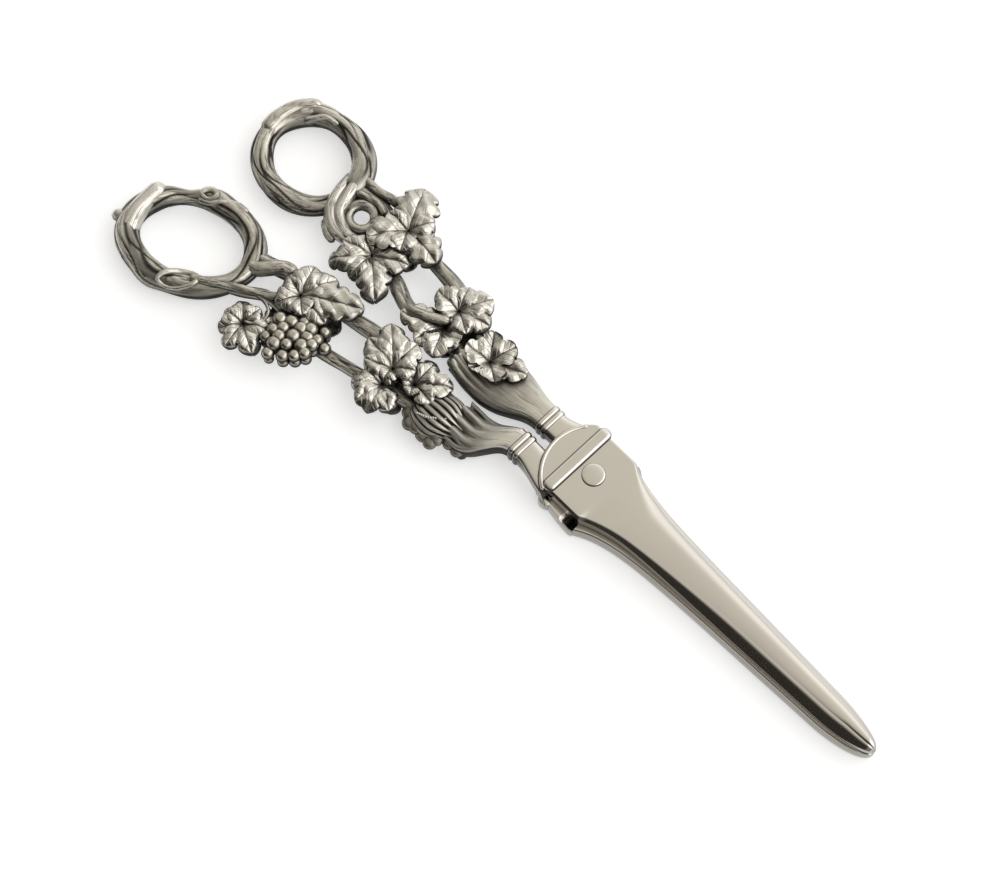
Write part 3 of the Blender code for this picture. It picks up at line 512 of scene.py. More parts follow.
def build_rivet(material):
    """The rivet: a low domed head on a shank, with a wider lower end."""
    top = UPPER_FACE + RIVET_PROUD
    profile = [(0.02, 0.0), (2.0, 0.0), (2.1, 0.06), (2.1, 0.5), (1.5, 0.5), (1.5, 6.0), (RIVET_RADIUS, 6.0),
               (RIVET_RADIUS, top - 0.14), (RIVET_RADIUS - 0.04, top - 0.06), (RIVET_RADIUS - 0.14, top),
               (RIVET_RADIUS - 0.4, top + 0.05), (1.4, top + 0.08), (0.7, top + 0.1), (0.02, top + 0.1)]
    # Painted shade on the rivet head's side wall and the edge above it
    rivet_shade = np.array([[SEAM_SHADE if r > RIVET_RADIUS - 0.08 else 0.0] for r, _ in profile])
    _, c, s = circle(64)
    skin = Skin()
    skin.rings([np.stack([r * c, r * s, z + 0 * c], 1) for r, z in profile], wear_and_shade=rivet_shade)
    make_piece("pivot_rivet", skin, material, BLADE_SHARP)


def build_calyx(node, material, neck_y, end, half_width, depth, shape, flutes, shine, straps=()):
    """A bell that spreads from the neck and splits into fingers, with straps laid over it.

    Shape gives how far the bell has opened at shares of its length. Flutes gives how many grooves split it,
    how deep they are and how far the fingers reach past them. Shine is how far it is rubbed at the neck.
    """
    grooves, groove_depth, reach = flutes
    start_x = RING_XS[0] - RING_HALF_LENGTH - 0.05
    collar_y, collar_z = NECK_HALF_WIDTH + COLLAR_GAP, NECK_HALF_HEIGHT + COLLAR_GAP
    stations = np.linspace(0, 1, 60)
    opening = smoothed(np.interp(stations, *zip(*shape)), "edge")
    _, c, s = circle(192)
    above = smooth_step(s, 0.25, 0.6)
    profile = [(along, opened, 1.0) for along, opened in zip(stations, opening)]
    profile += [(along, opening[-1], size) for along, size in ((0.985, 0.93), (0.96, 0.8), (0.9, 0.55))]
    rows, marks, wear_and_shade = [], [], []
    for along, opened, size in profile:
        power = NECK_SQUARENESS + 0.3 * opened
        across, up = signed_power(c, power), signed_power(s, power)
        wave = np.abs(np.cos(math.pi * grooves * across / 2)) ** 0.6
        split = smooth_step(along, 0.38, 0.85)
        x = blend(start_x, end[0], along) - reach * smooth_step(along, 0.6, 1.0) * (wave - 0.6)
        y = blend(neck_y, end[1], opened) + blend(collar_y, half_width, opened) * size * across
        z = ARM_Z + (collar_z + depth * opened) * size * up - groove_depth * split * (1 - wave) * above
        rows.append(np.stack([x, y, z], 1))
        marks.append(np.stack([0 * c + along * 20, half_width * c, half_width * s], 1))
        near = 1 - smooth_step(along, 0.05, 0.45)
        # Painted shade on the bell's lower half; above, the neck end is rubbed, the ridges rubbed and the
        # grooves tarnished
        wear_and_shade.append(above * (shine * near + split * (1.9 * wave - 1.3)) - 0.85 * (1 - above))
    skin = Skin()
    skin.rings(rows, marks, wear_and_shade=wear_and_shade)
    for i, (points, radius, taper) in enumerate(straps):
        stem(skin, points, radius, seed=140 + i, sides=32, taper=taper, depth=0.1)
    make_piece(node, skin, material)


def eye(skin, bow, x, y, length, width, turn):
    """Adds an almond-shaped ring on a bow where a twig was taken off, with a bead of bark inside it."""
    around, c, s = circle(72)
    ring = np.stack(turned(length * c, width * signed_power(s, 1.3), turn), 1) + (x, y)
    off = np.min(np.linalg.norm(ring[:, None] - bow[None, :, :2], axis=2), axis=1)
    height = ARM_Z + np.sqrt(np.clip(BOW_TUBE_RADIUS**2 - off**2, 0.8, None)) + 0.3
    height = smoothed(height, "wrap")
    tube(skin, np.column_stack([ring, height]), 0.58 + 0.14 * np.cos(around - 1), 14, closed=True, wear_and_shade=0.5)
    step_x, step_y = turned(length, 0.0, turn)
    inner = level([(x + k * step_x, y + k * step_y) for k in (-0.7, -0.3, 0.1, 0.6)],
                  np.mean(height) - 0.5 - ARM_Z)
    stem(skin, inner, 0.5 * width, seed=int(10 * length), sides=16, taper=0.9, depth=0.2)


def build_bow(node, material, centre, radii, tilt, seed, knots, strands, eyes=()):
    """A finger bow: a closed stem with swellings, cut twig ends along it, and eyes where twigs came off.

    Knots give direction, swelling and width in degrees. Strands give points, radius, taper, bark and wear.
    """
    a, c, s = circle(300)
    middle = (*centre, ARM_Z)
    path = np.stack([*turned(radii[0] * c, radii[1] * s, tilt), 0 * a], 1) + middle
    sizes = BOW_TUBE_RADIUS * (1 + 0.05 * np.sin(3 * a) + 0.04 * np.sin(5 * a + 1))
    for direction, swelling, width in knots:
        off = (np.degrees(a) - direction + 180) % 360 - 180
        swell = swelling * bell(off, width)
        sizes = sizes + swell
        outward = (path - middle) * (1, 1, 0)
        path = path + 0.9 * swell[:, None] * outward / np.linalg.norm(outward, axis=1)[:, None]
    skin = Skin()
    relief = bark(len(path), BOW_SIDES, seed, BOW_BARK, lines=15)
    tube(skin, path, sizes, BOW_SIDES, closed=True, relief=relief, wear_and_shade=bark_wear(relief, BOW_BARK))
    for i, (points, radius, taper, depth, wear_and_shade) in enumerate(strands):
        stem(skin, points, radius, seed + 10 + i, STEM_SIDES, taper, depth=depth, wear_and_shade=wear_and_shade)
    for place in eyes:
        eye(skin, path, *place)
    make_piece(node, skin, material)


def build_stems(node, seed, wear_and_shade, stems, material):
    """Stems that make up one node, each given as points, radius, taper and how its ends are made."""
    skin = Skin()
    for i, (points, radius, taper, rounded) in enumerate(stems):
        stem(skin, points, radius, seed + i, STEM_SIDES, taper, rounded, wear_and_shade=wear_and_shade)
    make_piece(node, skin, material)


def lobe_outline(u, v, length, half_width):
    """Where a lobe's points lie along and across its vein, and how far its base and tip narrow it."""
    side = np.abs(v)
    tip = np.sqrt(np.clip(1 - np.clip((u - 0.45) / 0.55, 0, 1) ** 2.1, 0.0016, 1))
    base = 0.5 + 0.5 * smooth_step(u, 0.0, 0.5)
    notch = 1 - np.abs(np.sin(math.pi * (u * max(2.0, length / 2.6) + 0.3))) ** 0.45
    teeth = 1 - NOTCH_DEPTH * smooth_step(u, 0.2, 0.4) * notch * side**3
    along = 0.2 + (length - 0.2) * (u - 0.05 * side**2 * (1 - u))
    return along, v * half_width * base * tip * teeth, base, tip


def lobe_height(u, v, length, half_width, outline, rng, curl):
    """How high a lobe's points stand: an arch along it, swells beside its vein, cut veins and ruffles."""
    along, across, base, tip = outline
    side = np.abs(v)
    rise = rng.uniform(0.5, 1.0)
    droop = rng.choice((0.1, 0.5, 0.9, 1.3)) - 1.5 * curl
    hang = rng.choice((-0.15, 0.25, 0.45, 0.6)) - 0.8 * curl
    arch = rise * (1 - np.clip((0.5 - u) / 0.5, 0, 1) ** 2) - droop * np.clip((u - 0.5) / 0.5, 0, 1) ** 2
    bulge = 0.34 * min(1.2, half_width / 2.4) * np.sin(math.pi * side**0.8) * np.minimum(1, 2.5 * u) * tip
    edge = -hang * side**2.5 * base * half_width / 2.6
    veins = (along - VEIN_LEAN * np.abs(across)) / (length / SIDE_VEINS)
    side_vein = -0.08 * bell((veins + 0.5) % 1 - 0.5, 0.09) * np.clip(3 * side, 0, 1) * (1 - side**3)
    middle = -0.12 * bell(across, 0.13) * (1 - 0.8 * u)
    ruffle = 0.2 * np.sin(1.5 * along + rng.uniform(0, 6)) * np.sin(1.9 * across + rng.uniform(0, 6))
    ruffle = ruffle * np.minimum(1, 2 * u)
    slope = rng.uniform(-0.1, 0.1) * across
    return arch + bulge + edge + side_vein + middle + ruffle + slope - 0.5 * (1 - u) ** 3


def lobe(skin, hub, direction, length, half_width, rng, back, curl):
    """Adds one lobe of a leaf: a broad fold with a vein cut down it, side veins, and a toothed edge.

    Curl is how far its tip and edges turn up. A lobe on the back faces down and stays over the floor.
    """
    u = (np.sin(np.linspace(0, math.pi / 2, 52)) ** 1.1)[:, None]
    v = signed_power(np.linspace(-1, 1, 35), 1.25)[None, :]
    side = np.abs(v)
    outline = lobe_outline(u, v, length, half_width)
    along, across = outline[:2]
    height = lobe_height(u, v, length, half_width, outline, rng, curl)
    bent = across + rng.uniform(-0.08, 0.08) * length * u**2
    x, y = turned(along, bent, direction)
    x, y = x + hub[0], y + hub[1]
    thick = LEAF_THICKNESS - 0.25 * side**3
    top = np.maximum(FLOOR_CLEARANCE, hub[2] - 0.6 * height) if back else hub[2] + height
    under = top + thick if back else top - thick
    sheet = np.concatenate([np.stack([x, y, top], -1), np.stack([x, y, under], -1)[:, ::-1]], 1)
    marks = np.stack(np.broadcast_arrays(along, across, length), -1)
    marks = np.concatenate([marks, marks[:, ::-1]], 1)
    rubbed = 0.55 * smooth_step(height, 0.3, 0.95) * (1 - side**4)
    skin.rings(sheet, marks, wear_and_shade=np.concatenate([rubbed, 0 * rubbed], 1))


def build_leaf(node, centre, lift, lobes, material, back=False):
    """A vine leaf made of lobes, each given as direction, length and half width."""
    rng = random.Random(node)
    skin = Skin()
    for direction, length, half_width in lobes:
        z = lift + (BACK_LEAF_Z if back else LEAF_Z + rng.uniform(0.0, 0.25))
        lobe(skin, (*centre, z), direction, length, half_width, rng, back, CURLS.get(node, 0.0))
    make_piece(node, skin, material)


def ball(skin, centre, radius, rows=12, columns=18, stretch=1.0, wear_and_shade=0.0):
    """Adds a berry with a small dimple on top."""
    polar = np.linspace(0.12, math.pi - 0.02, rows)[:, None]
    _, c, s = circle(columns)
    size = radius * (1 - 0.1 * bell(polar, 0.3))
    across, up = size * np.sin(polar), stretch * (size * np.cos(polar))
    points = np.stack(np.broadcast_arrays(across * c, across * s, up), -1)
    skin.rings(points + np.asarray(centre, float), wear_and_shade=wear_and_shade)


def build_grapes(material):
    """The bunch: grapes in slanting rows, heaped towards the middle, over a solid heart."""
    rng = random.Random(5)
    middle = (-60.9, -21.9)
    along, across = (1.75, 1.72), (1.3932, -1.178)  # from grape to grape in a row, and from row to row
    half_x, half_y = 7.4, 7.0
    skin = Skin()
    for row, first, last in ((-2, -1, 2), (-1, -2, 2), (0, -2, 2), (1, -2, 2), (2, -2, 1)):
        for column in range(first, last + 1):
            shift = column + 0.5 * (row % 2)
            x = middle[0] + shift * along[0] + row * across[0] + rng.uniform(-0.4, 0.4)
            y = middle[1] + shift * along[1] + row * across[1] + rng.uniform(-0.4, 0.4)
            spread = math.hypot((x - middle[0]) / half_x, (y - middle[1]) / half_y)
            z = 4.0 + 2.2 * math.sqrt(max(0.0, 1 - spread**2)) + rng.uniform(-0.2, 0.3)
            ball(skin, (x, y, z), rng.uniform(1.3, 1.62))
            ball(skin, (x + 0.4, y - 0.3, z - 1.5), rng.uniform(1.05, 1.35))
    ball(skin, (*middle, 3.6), 4.4, rows=16, columns=28, stretch=0.42)
    make_piece("left_grape_bunch", skin, material)


def build_berries(material):
    """Berries coloured dark, the lowest of each three darkest, heaped in threes along the rolled leaf's lower
    edge.
    """
    rng = random.Random(9)
    skin = Skin()
    edge = [(-34.4, -16.2, 3.6), (-32.6, -17.7, 3.7), (-30.6, -18.0, 3.8), (-28.6, -17.7, 3.9),
            (-26.4, -17.0, 3.9), (-24.6, -15.8, 3.6), (-23.2, -14.6, 3.2)]
    for place in curve(edge, 8):
        place = place + (rng.uniform(-0.7, 0.7), rng.uniform(0.2, 1.3), rng.uniform(-0.5, 0.2))
        ball(skin, place, rng.uniform(1.1, 1.75), 16, 26, stretch=rng.uniform(0.7, 0.95), wear_and_shade=-0.5)
        ball(skin, place + (rng.uniform(-1.3, 1.3), 1.4, 0.5), rng.uniform(0.8, 1.2), wear_and_shade=-0.6)
        ball(skin, place + (rng.uniform(-0.9, 0.9), 0.3, -0.9), rng.uniform(1.1, 1.4), wear_and_shade=-0.75)
    make_piece("left_berry_row", skin, material)


def build_rolled_leaf(material):
    """The leaf rolled up beside the left calyx, with bent ribs along it and a row of small beads."""
    middle = [(-22.8, -11.2, 1.6), (-25.2, -11.6, 3.1), (-28.6, -12.2, 5.0), (-32.2, -12.6, 4.6),
              (-35.2, -13.0, 2.4)]
    beads = [(-32.6, -15.4, 6.2), (-30.6, -14.7, 6.5), (-28.8, -13.2, 6.4), (-27.3, -11.6, 6.0)]
    angle, c, s = circle(160)
    rows, marks, wear_and_shade = [], [], []
    for t, (x, y, half) in zip(np.linspace(0, 1, 60), curve(middle, 60)):
        ribs = np.abs(np.sin(11 * angle + 2.6 * t)) ** 0.6
        size = half * max(math.sqrt(0.004), rounding(1 - t, 0.15)) * (0.88 + 0.16 * ribs)
        rows.append(np.stack([x + 0.6 * c * (t - 0.5), y + size * c, ARM_Z + 0.4 + 0.62 * size * s], 1))
        marks.append(np.stack([0 * c + t * 14, 5 * c, 5 * s], 1))
        wear_and_shade.append(1.9 * ribs**3 - 1.25 - 0.9 * (1 - smooth_step(t, 0.2, 0.42)))
    skin = Skin()
    skin.rings(rows, marks, wear_and_shade=wear_and_shade)
    for place in curve(beads, 15):
        ball(skin, place, 0.34, rows=8, columns=12)
    make_piece("left_folded_leaf", skin, material)


class Graph:
    """The nodes of a material or of the world, added one at a time with their inputs."""

    def __init__(self, tree, shader):
        self.tree = tree
        self.shader = tree.nodes[shader]

    def put(self, node, inputs):
        """Sets inputs of a node to values, or links them to other nodes."""
        for key, value in inputs.items():
            if isinstance(value, bpy.types.NodeSocket):
                self.tree.links.new(value, node.inputs[key])
            else:
                node.inputs[key].default_value = value

    def shade(self, inputs):
        self.put(self.shader, inputs)

    def add(self, kind, inputs, **settings):
        node = self.tree.nodes.new("ShaderNode" + kind)
        for key, value in settings.items():
            setattr(node, key, value)
        self.put(node, inputs)
        return node.outputs

    def place(self):
        """Where a point is on its object."""
        return self.add("TexCoord", {})["Object"]

    def chase(self):
        """Where a point is in the chasing."""
        return self.add("Attribute", {}, attribute_name="chase")["Vector"]

    def wear_and_shade(self):
        """How far a point is rubbed, and how far it is tarnished or given painted shade."""
        wear_and_shade = self.add("Attribute", {}, attribute_name="wear_and_shade")["Fac"]
        return self.span(wear_and_shade, 0.0, 1.0), self.span(wear_and_shade, -1.0, 0.0, 1.0, 0.0)

    def parts(self, vector):
        return self.add("SeparateXYZ", {0: vector})

    def math(self, operation, a, b=0.0, clamp=False):
        return self.add("Math", {0: a, 1: b}, operation=operation, use_clamp=clamp)[0]

    def times(self, a, b):
        return self.math("MULTIPLY", a, b)

    def most(self, a, b, clamp=False):
        return self.math("MAXIMUM", a, b, clamp)

    def span(self, value, low, high, start=0.0, end=1.0):
        """A value from one range set into another, and held to it."""
        ranges = {"From Min": low, "From Max": high, "To Min": start, "To Max": end}
        return self.add("MapRange", {"Value": value, **ranges})["Result"]

    def noise(self, vector, scale, detail=3.0, roughness=0.55):
        inputs = {"Vector": vector, "Scale": scale, "Detail": detail, "Roughness": roughness}
        return self.add("TexNoise", inputs)["Fac"]

    def stretched_noise(self, vector, scale, detail, roughness=0.55):
        """Noise whose grains are drawn out along the directions of the smaller scales."""
        stretched = self.add("Mapping", {"Vector": vector, "Scale": scale})["Vector"]
        return self.noise(stretched, 1.0, detail, roughness)

    def mix(self, share, a, b):
        return self.add("Mix", {"Factor": share, "A": a, "B": b}, data_type="RGBA")["Result"]

    def bump(self, height, distance, strength, under=None):
        """A normal with relief added, over another bump where one is given."""
        inputs = {"Height": height, "Distance": distance, "Strength": strength}
        if under is not None:
            inputs["Normal"] = under
        return self.add("Bump", inputs)["Normal"]

    def flank(self, low, high):
        """How steep a surface is: 1 on a side wall, 0 where it faces up or down."""
        normal = self.add("TexCoord", {})["Normal"]
        upright = self.math("ABSOLUTE", self.parts(normal)["Z"])
        return self.span(upright, low, high, 1.0, 0.0)

    def hollow(self, distance, low, high):
        """How deep a point lies in a hollow, by ambient occlusion: 1 in a narrow crevice, 0 in the open, for
        painting shade into crevices.
        """
        open_share = self.add("AmbientOcclusion", {"Distance": distance}, samples=8)["AO"]
        return self.span(open_share, low, high, 1.0, 0.0)


def new_material(name):
    """A material and the graph that fills it."""
    material = bpy.data.materials.new(name)
    material.use_nodes = True
    return material, Graph(material.node_tree, "Principled BSDF")


def polished_silver():
    """Bright blade silver: fine polishing lines, soft cloudy tints, painted shade in crevices, at seams and
    in the notch, and side walls darkened, partly as tarnish and partly as painted shade.
    """
    material, g = new_material("polished_silver_dressed")
    place = g.place()
    cloud = g.noise(place, 70.0, 2.0)
    lines = g.stretched_noise(place, (120.0, 5200.0, 5200.0), 3.0)
    marks = g.noise(place, 1500.0, 2.0)
    tint = g.mix(g.span(cloud, 0.35, 0.65), POLISHED, POLISHED_CLOUD)
    # Painted shade: ambient occlusion darkens crevices, and side walls darken by their steepness, partly as
    # tarnish and partly as painted shade
    shade_share = g.most(g.hollow(0.0011, 0.2, 0.72), g.times(g.flank(0.5, 0.9), 0.7))
    # Painted shade from the wear channel: near-black at the seams, on the necks' side walls and in the notch
    tarnish_and_shade = g.wear_and_shade()[1]
    g.shade({
        "Base Color": g.mix(tarnish_and_shade, g.mix(shade_share, tint, PAINTED_SHADE), BLADE_SHADE_BLACK),
        "Roughness": g.math("ADD", g.span(cloud, 0.3, 0.7, 0.10, 0.16), g.times(lines, 0.05)),
        "Normal": g.bump(marks, 0.00002, 0.02, g.bump(lines, 0.00001, 0.03)),
        "Metallic": g.span(tarnish_and_shade, 0.3, 1.0, 1.0, TARNISH_AND_SHADE_METALLIC),
        "Specular IOR Level": SPECULAR,
    })
    return material


def chased_silver(name, pattern, bright, worn, gloss):
    """Cast silver, bright on what stands proud, dark in what is cut in, with painted shade in crevices and on
    undersides, and flanks darkened partly as tarnish and partly as painted shade.

    Pattern adds the chasing, and gives the lines that are cut in, fine relief and a darkening.
    """
    material, g = new_material(name)
    cut, fine, age = pattern(g)
    cloud = g.noise(g.place(), 260.0)
    rubbed, tarnish_and_shade = g.wear_and_shade()
    # Painted shade: ambient occlusion darkens crevices, and flanks darken by their steepness, partly as
    # tarnish and partly as painted shade; the wear channel adds tarnish and painted shade
    dark_and_shade = g.most(g.hollow(0.0025, 0.33, 0.86), g.times(g.flank(0.15, 0.75), 0.9))
    dark_and_shade = g.most(dark_and_shade, g.times(cut, 0.8), clamp=True)
    dark_and_shade = g.most(g.most(dark_and_shade, age), tarnish_and_shade)
    dark_and_shade = g.times(dark_and_shade, g.span(rubbed, 0.0, 1.0, 1.0, 0.25))
    dark_and_shade = g.times(g.span(dark_and_shade, 0.0, 0.82), g.span(cloud, 0.25, 0.5, 0.93, 1.0))
    clean = g.mix(g.span(cloud, 0.35, 0.65), (*bright, 1), (*worn, 1))
    relief = g.math("SUBTRACT", g.times(fine, 0.4), cut)
    g.shade({
        "Base Color": g.mix(dark_and_shade, g.mix(rubbed, clean, RUBBED), TARNISH_AND_SHADE),
        "Roughness": g.math("ADD", g.span(dark_and_shade, 0.0, 1.0, gloss, 0.45), g.times(cloud, 0.08)),
        "Normal": g.bump(relief, 0.00014, 0.7),
        "Metallic": g.span(dark_and_shade, 0.3, 1.0, 1.0, TARNISH_AND_SHADE_METALLIC),
        "Specular IOR Level": SPECULAR,
    })
    return material


def leaf_lines(g):
    """A vein down each lobe, side veins that lean forward, and chasing strokes, deepest near the hub."""
    chase = g.chase()
    parts = g.parts(chase)
    along, across, length = parts["X"], g.math("ABSOLUTE", parts["Y"]), parts["Z"]
    middle = g.times(g.span(across, 0.02, 0.1, 0.5, 0.0), g.span(along, 1.0, 6.0, 1.0, 0.3))
    lean = g.math("SUBTRACT", along, g.times(across, VEIN_LEAN))
    off = g.math("PINGPONG", g.math("DIVIDE", g.times(lean, SIDE_VEINS), length), 0.5)
    side = g.times(g.span(off, 0.015, 0.055, 0.6, 0.0), g.span(across, 0.2, 2.2, 1.0, 0.0))
    strokes = g.stretched_noise(chase, (0.3, 3.4, 0.0), 1.0)
    hatch = g.times(g.span(strokes, 0.31, 0.37, 0.55, 0.0), g.span(along, 2.0, 7.0, 1.0, 0.2))
    grain = g.stretched_noise(chase, (0.5, 5.0, 0.0), 2.0)
    return g.most(g.most(middle, side), hatch), g.times(grain, 0.8), 0.0


def bark_lines(g):
    """Grain that runs along a stem."""
    grain = g.stretched_noise(g.chase(), (0.3, 3.6, 3.6), 4.0, 0.65)
    return g.span(grain, 0.34, 0.45, 0.75, 0.0), grain, 0.0


def rib_lines(g):
    """Fine lines along a fluted piece, which darkens away from the neck."""
    chase = g.chase()
    grain = g.stretched_noise(chase, (0.1, 2.2, 2.2), 3.0)
    away = g.parts(chase)["X"]
    lines = g.times(g.span(grain, 0.32, 0.46, 0.65, 0.0), g.span(away, 1.0, 6.0, 0.3, 1.0))
    return lines, grain, g.span(away, 2.5, 9.0, 0.0, 0.4)


def smooth_lines(g):
    """No chasing, only the grain of the casting."""
    grain = g.noise(g.place(), 2600.0, 2.0)
    return g.span(grain, 0.18, 0.24, 0.3, 0.0), grain, 0.0


# Leaves: where the veins meet, lift, and each lobe's direction, length and half width
RIGHT_LEAVES = {
    "right_low_leaf": ((-63.0, 1.0), 0.0, (
        (31, 7.8, 3.3), (110, 3.0, 1.8), (196, 6.2, 2.9), (230, 8.6, 3.0), (276, 6.2, 2.6), (324, 9.8, 3.7))),
    "right_under_leaf": ((-42.0, 0.8), -0.3, (
        (60, 2.4, 1.6), (150, 2.8, 1.8), (208, 9.0, 3.2), (250, 6.6, 3.0), (298, 6.8, 3.1), (338, 5.2, 2.8))),
    "right_top_leaf": ((-61.6, 9.7), 0.6, (
        (60, 5.4, 3.2), (185, 5.6, 3.0), (300, 5.0, 2.8), (355, 9.0, 4.0), (235, 8.4, 3.8), (117, 9.6, 4.8))),
    "right_mid_leaf": ((-42.2, 5.0), 0.4, (
        (15, 6.8, 3.3), (67, 7.0, 3.4), (116, 5.4, 3.1), (186, 5.8, 3.1), (224, 4.4, 2.3), (332, 5.4, 2.9))),
    "right_curled_leaf": ((-30.4, 2.0), 0.3, (
        (25, 7.8, 3.0), (74, 5.8, 2.9), (126, 5.6, 3.0), (195, 5.4, 2.8), (250, 4.4, 2.4), (325, 5.0, 2.6))),
}
LEFT_LEAVES = {
    "left_large_leaf": ((-66.2, -15.0), 0.5, (
        (72, 8.0, 3.3), (112, 6.6, 3.1), (169, 5.0, 2.7), (249, 5.2, 2.9), (326, 4.6, 2.5), (356, 7.8, 3.1),
        (32, 13.0, 3.9))),
    "left_fan_leaf": ((-41.6, -16.2), 0.1, (
        (85, 2.0, 1.4), (190, 4.8, 2.5), (226, 6.0, 2.5), (258, 6.2, 2.5), (292, 6.2, 2.5), (332, 6.0, 2.6))),
    "left_side_leaf": ((-37.2, -11.8), 0.0, (
        (0, 5.2, 2.3), (41, 7.6, 3.0), (88, 6.2, 2.9), (200, 2.4, 1.6), (300, 2.6, 1.6))),
    "left_mid_leaf": ((-42.4, -12.6), 0.6, (
        (40, 4.6, 2.5), (92, 6.8, 3.2), (134, 9.2, 3.7), (170, 7.8, 3.2), (210, 5.8, 3.0), (280, 3.0, 2.1))),
    "left_small_leaf": ((-70.1, -26.7), -1.0, (
        (25, 5.4, 2.5), (84, 4.4, 2.3), (135, 4.6, 2.5), (190, 4.4, 2.3), (240, 5.0, 2.3), (285, 6.0, 2.5),
        (330, 6.8, 2.8))),
}
BACK_LEAVES = {
    "right_back_leaf": ((-63.0, 5.6), 0.0, (
        (15, 6.4, 3.0), (85, 9.0, 3.6), (150, 7.5, 3.2), (225, 8.0, 3.2), (300, 7.4, 3.2))),
    "right_back_low_leaf": ((-42.0, 3.4), 0.0, (
        (10, 6.5, 3.0), (80, 6.8, 3.0), (150, 7.0, 3.0), (220, 6.5, 3.0), (290, 6.8, 3.0))),
    "left_back_leaf": ((-64.0, -15.6), 0.0, (
        (15, 7.4, 3.2), (85, 8.0, 3.4), (155, 7.0, 3.2), (235, 8.5, 3.4), (305, 8.0, 3.2))),
    "left_back_low_leaf": ((-42.0, -13.4), 0.0, (
        (30, 7.4, 3.2), (95, 7.0, 3.0), (165, 7.2, 3.0), (245, 7.0, 3.0), (310, 6.4, 2.8))),
}
CURLS = {"right_curled_leaf": 0.9}


def coil(x, y, half_x, half_y, height, fall, angles):
    """Points of a stem that turns round a middle and falls as it goes."""
    return [(x + half_x * math.cos(t), y + half_y * math.sin(t), height - fall * t) for t in angles]


# Stems: seed, wear, and each stem's points, radius, taper and ends. Heights are from the arms' middle
RIGHT_STEMS = {
    "right_outer_branch": (21, 0.0, (
        (level([(-33.5, 4.0), (-41, 6.6), (-46.5, 8.8), (-53.5, 9.5), (-60, 9.4), (-66, 9.8), (-71.5, 10.4),
                (-77.4, 9.4)]), BRANCH_RADIUS, 1.0, LET_IN),
        ([(-75.6, 8.4, 1.4), (-73.2, 9.3, 1.8), (-70.5, 9.8, 1.9), (-67.6, 9.2, 1.8)], 0.85, 0.9, ROUNDED),
        ([(-77.6, 12.0, 0.8), (-75.3, 11.8, 1.1), (-73.0, 11.8, 1.1), (-69.8, 12.6, 1.1), (-65.6, 13.4, 1.0)],
         1.1, 0.9, ROUNDED))),
    "right_inner_branch": (31, 0.0, (
        (level([(-33.5, -0.6), (-42, 0.2), (-47.5, -0.5), (-51.5, -0.6), (-56.5, 1.2), (-62, 1.8), (-67, 1.6),
                (-72, 1.6), (-77.4, 3.0)]), BRANCH_RADIUS, 0.95, LET_IN),
        (coil(-71.0, 5.7, 2.8, 2.75, 0.9, 0.0, np.linspace(0.2, 7.0, 20)), 1.15, 1.0, ROUNDED),
        ([(-58.0, 1.6, 0.3), (-54.8, -0.2, 1.3), (-52.1, -1.2, 2.4), (-49.1, -1.6, 3.5), (-46.3, -0.9, 4.0),
          (-43.8, 0.5, 4.1), (-41.6, 2.2, 3.7)], 1.2, 0.8, ROUNDED),
        (coil(-45.6, 3.1, 0.8, 0.8, 4.0, 0.06, np.linspace(0, 7.5, 14)), 0.34, 0.8, ROUNDED))),
    "right_cross_vine": (41, 0.6, (
        ([(-79.4, 11.4, -0.4), (-78.4, 6.9, 0.9), (-76.9, 3.0, 1.1), (-74.6, 0.7, 1.2), (-71.9, -0.2, 1.2),
          (-68.2, 0.4, 1.0)], 1.5, 0.85, ROUNDED),
        ([(-78.4, 12.8, -0.4), (-76.8, 8.6, 1.3), (-75.7, 5.3, 1.6), (-74.6, 2.9, 1.6), (-72.2, 1.5, 1.6),
          (-69.3, 0.9, 1.6), (-66.2, 2.0, 1.5)], 1.45, 0.75, ROUNDED))),
    "right_bud": (51, 0.0, (
        ([(-75.8, 0.5, 0.5), (-74.7, -0.6, 0.7), (-73.2, -1.5, 0.8), (-71.0, -1.9, 0.6)],
         1.0, 0.8, ROUNDED),)),
}
LEFT_STEMS = {
    "left_inner_branch": (61, 0.3, (
        (level([(-25.5, -8.6), (-36, -8.9), (-43, -9.4), (-50, -9.2), (-56, -10.2), (-63, -11.4),
                (-70, -12.0), (-78.4, -14.8)]), BRANCH_RADIUS, 1.1, LET_IN),
        ([(-79.6, -17.6, 0.6), (-77.2, -16.8, 1.0), (-75.4, -14.8, 1.2), (-73.3, -12.8, 1.3),
          (-70.6, -12.1, 1.2)], 1.65, 0.85, ROUNDED))),
    "left_outer_branch": (71, 0.0, (
        (level([(-25.5, -12.2), (-36, -14.4), (-44, -16.6), (-50, -18.0), (-56, -19.4), (-62, -19.8),
                (-67.5, -18.8), (-72, -19.2), (-76, -22.0), (-80.2, -24.4)]), BRANCH_RADIUS, 0.7, LET_IN),)),
    "left_twig": (81, 0.0, (
        (level([(-68.4, -17.2), (-70.6, -19.1), (-73.4, -20.9), (-77.1, -23.2), (-80.8, -25.6)], TWIG_HEIGHT)
         + [(-84.6, -27.8, TWIG_HEIGHT - 0.3)], 0.8, 1.15, ROUNDED),)),
}
LEFT_TENDRIL = (
    ([(-74.2, -21.6, 2.0), (-72.2, -20.9, 2.4), (-69.7, -20.9, 2.5), (-68.0, -21.9, 2.5), (-67.7, -23.9, 2.4),
      (-68.8, -25.7, 2.4), (-70.2, -26.4, 2.3)], 0.42, 0.8, ROUNDED),)


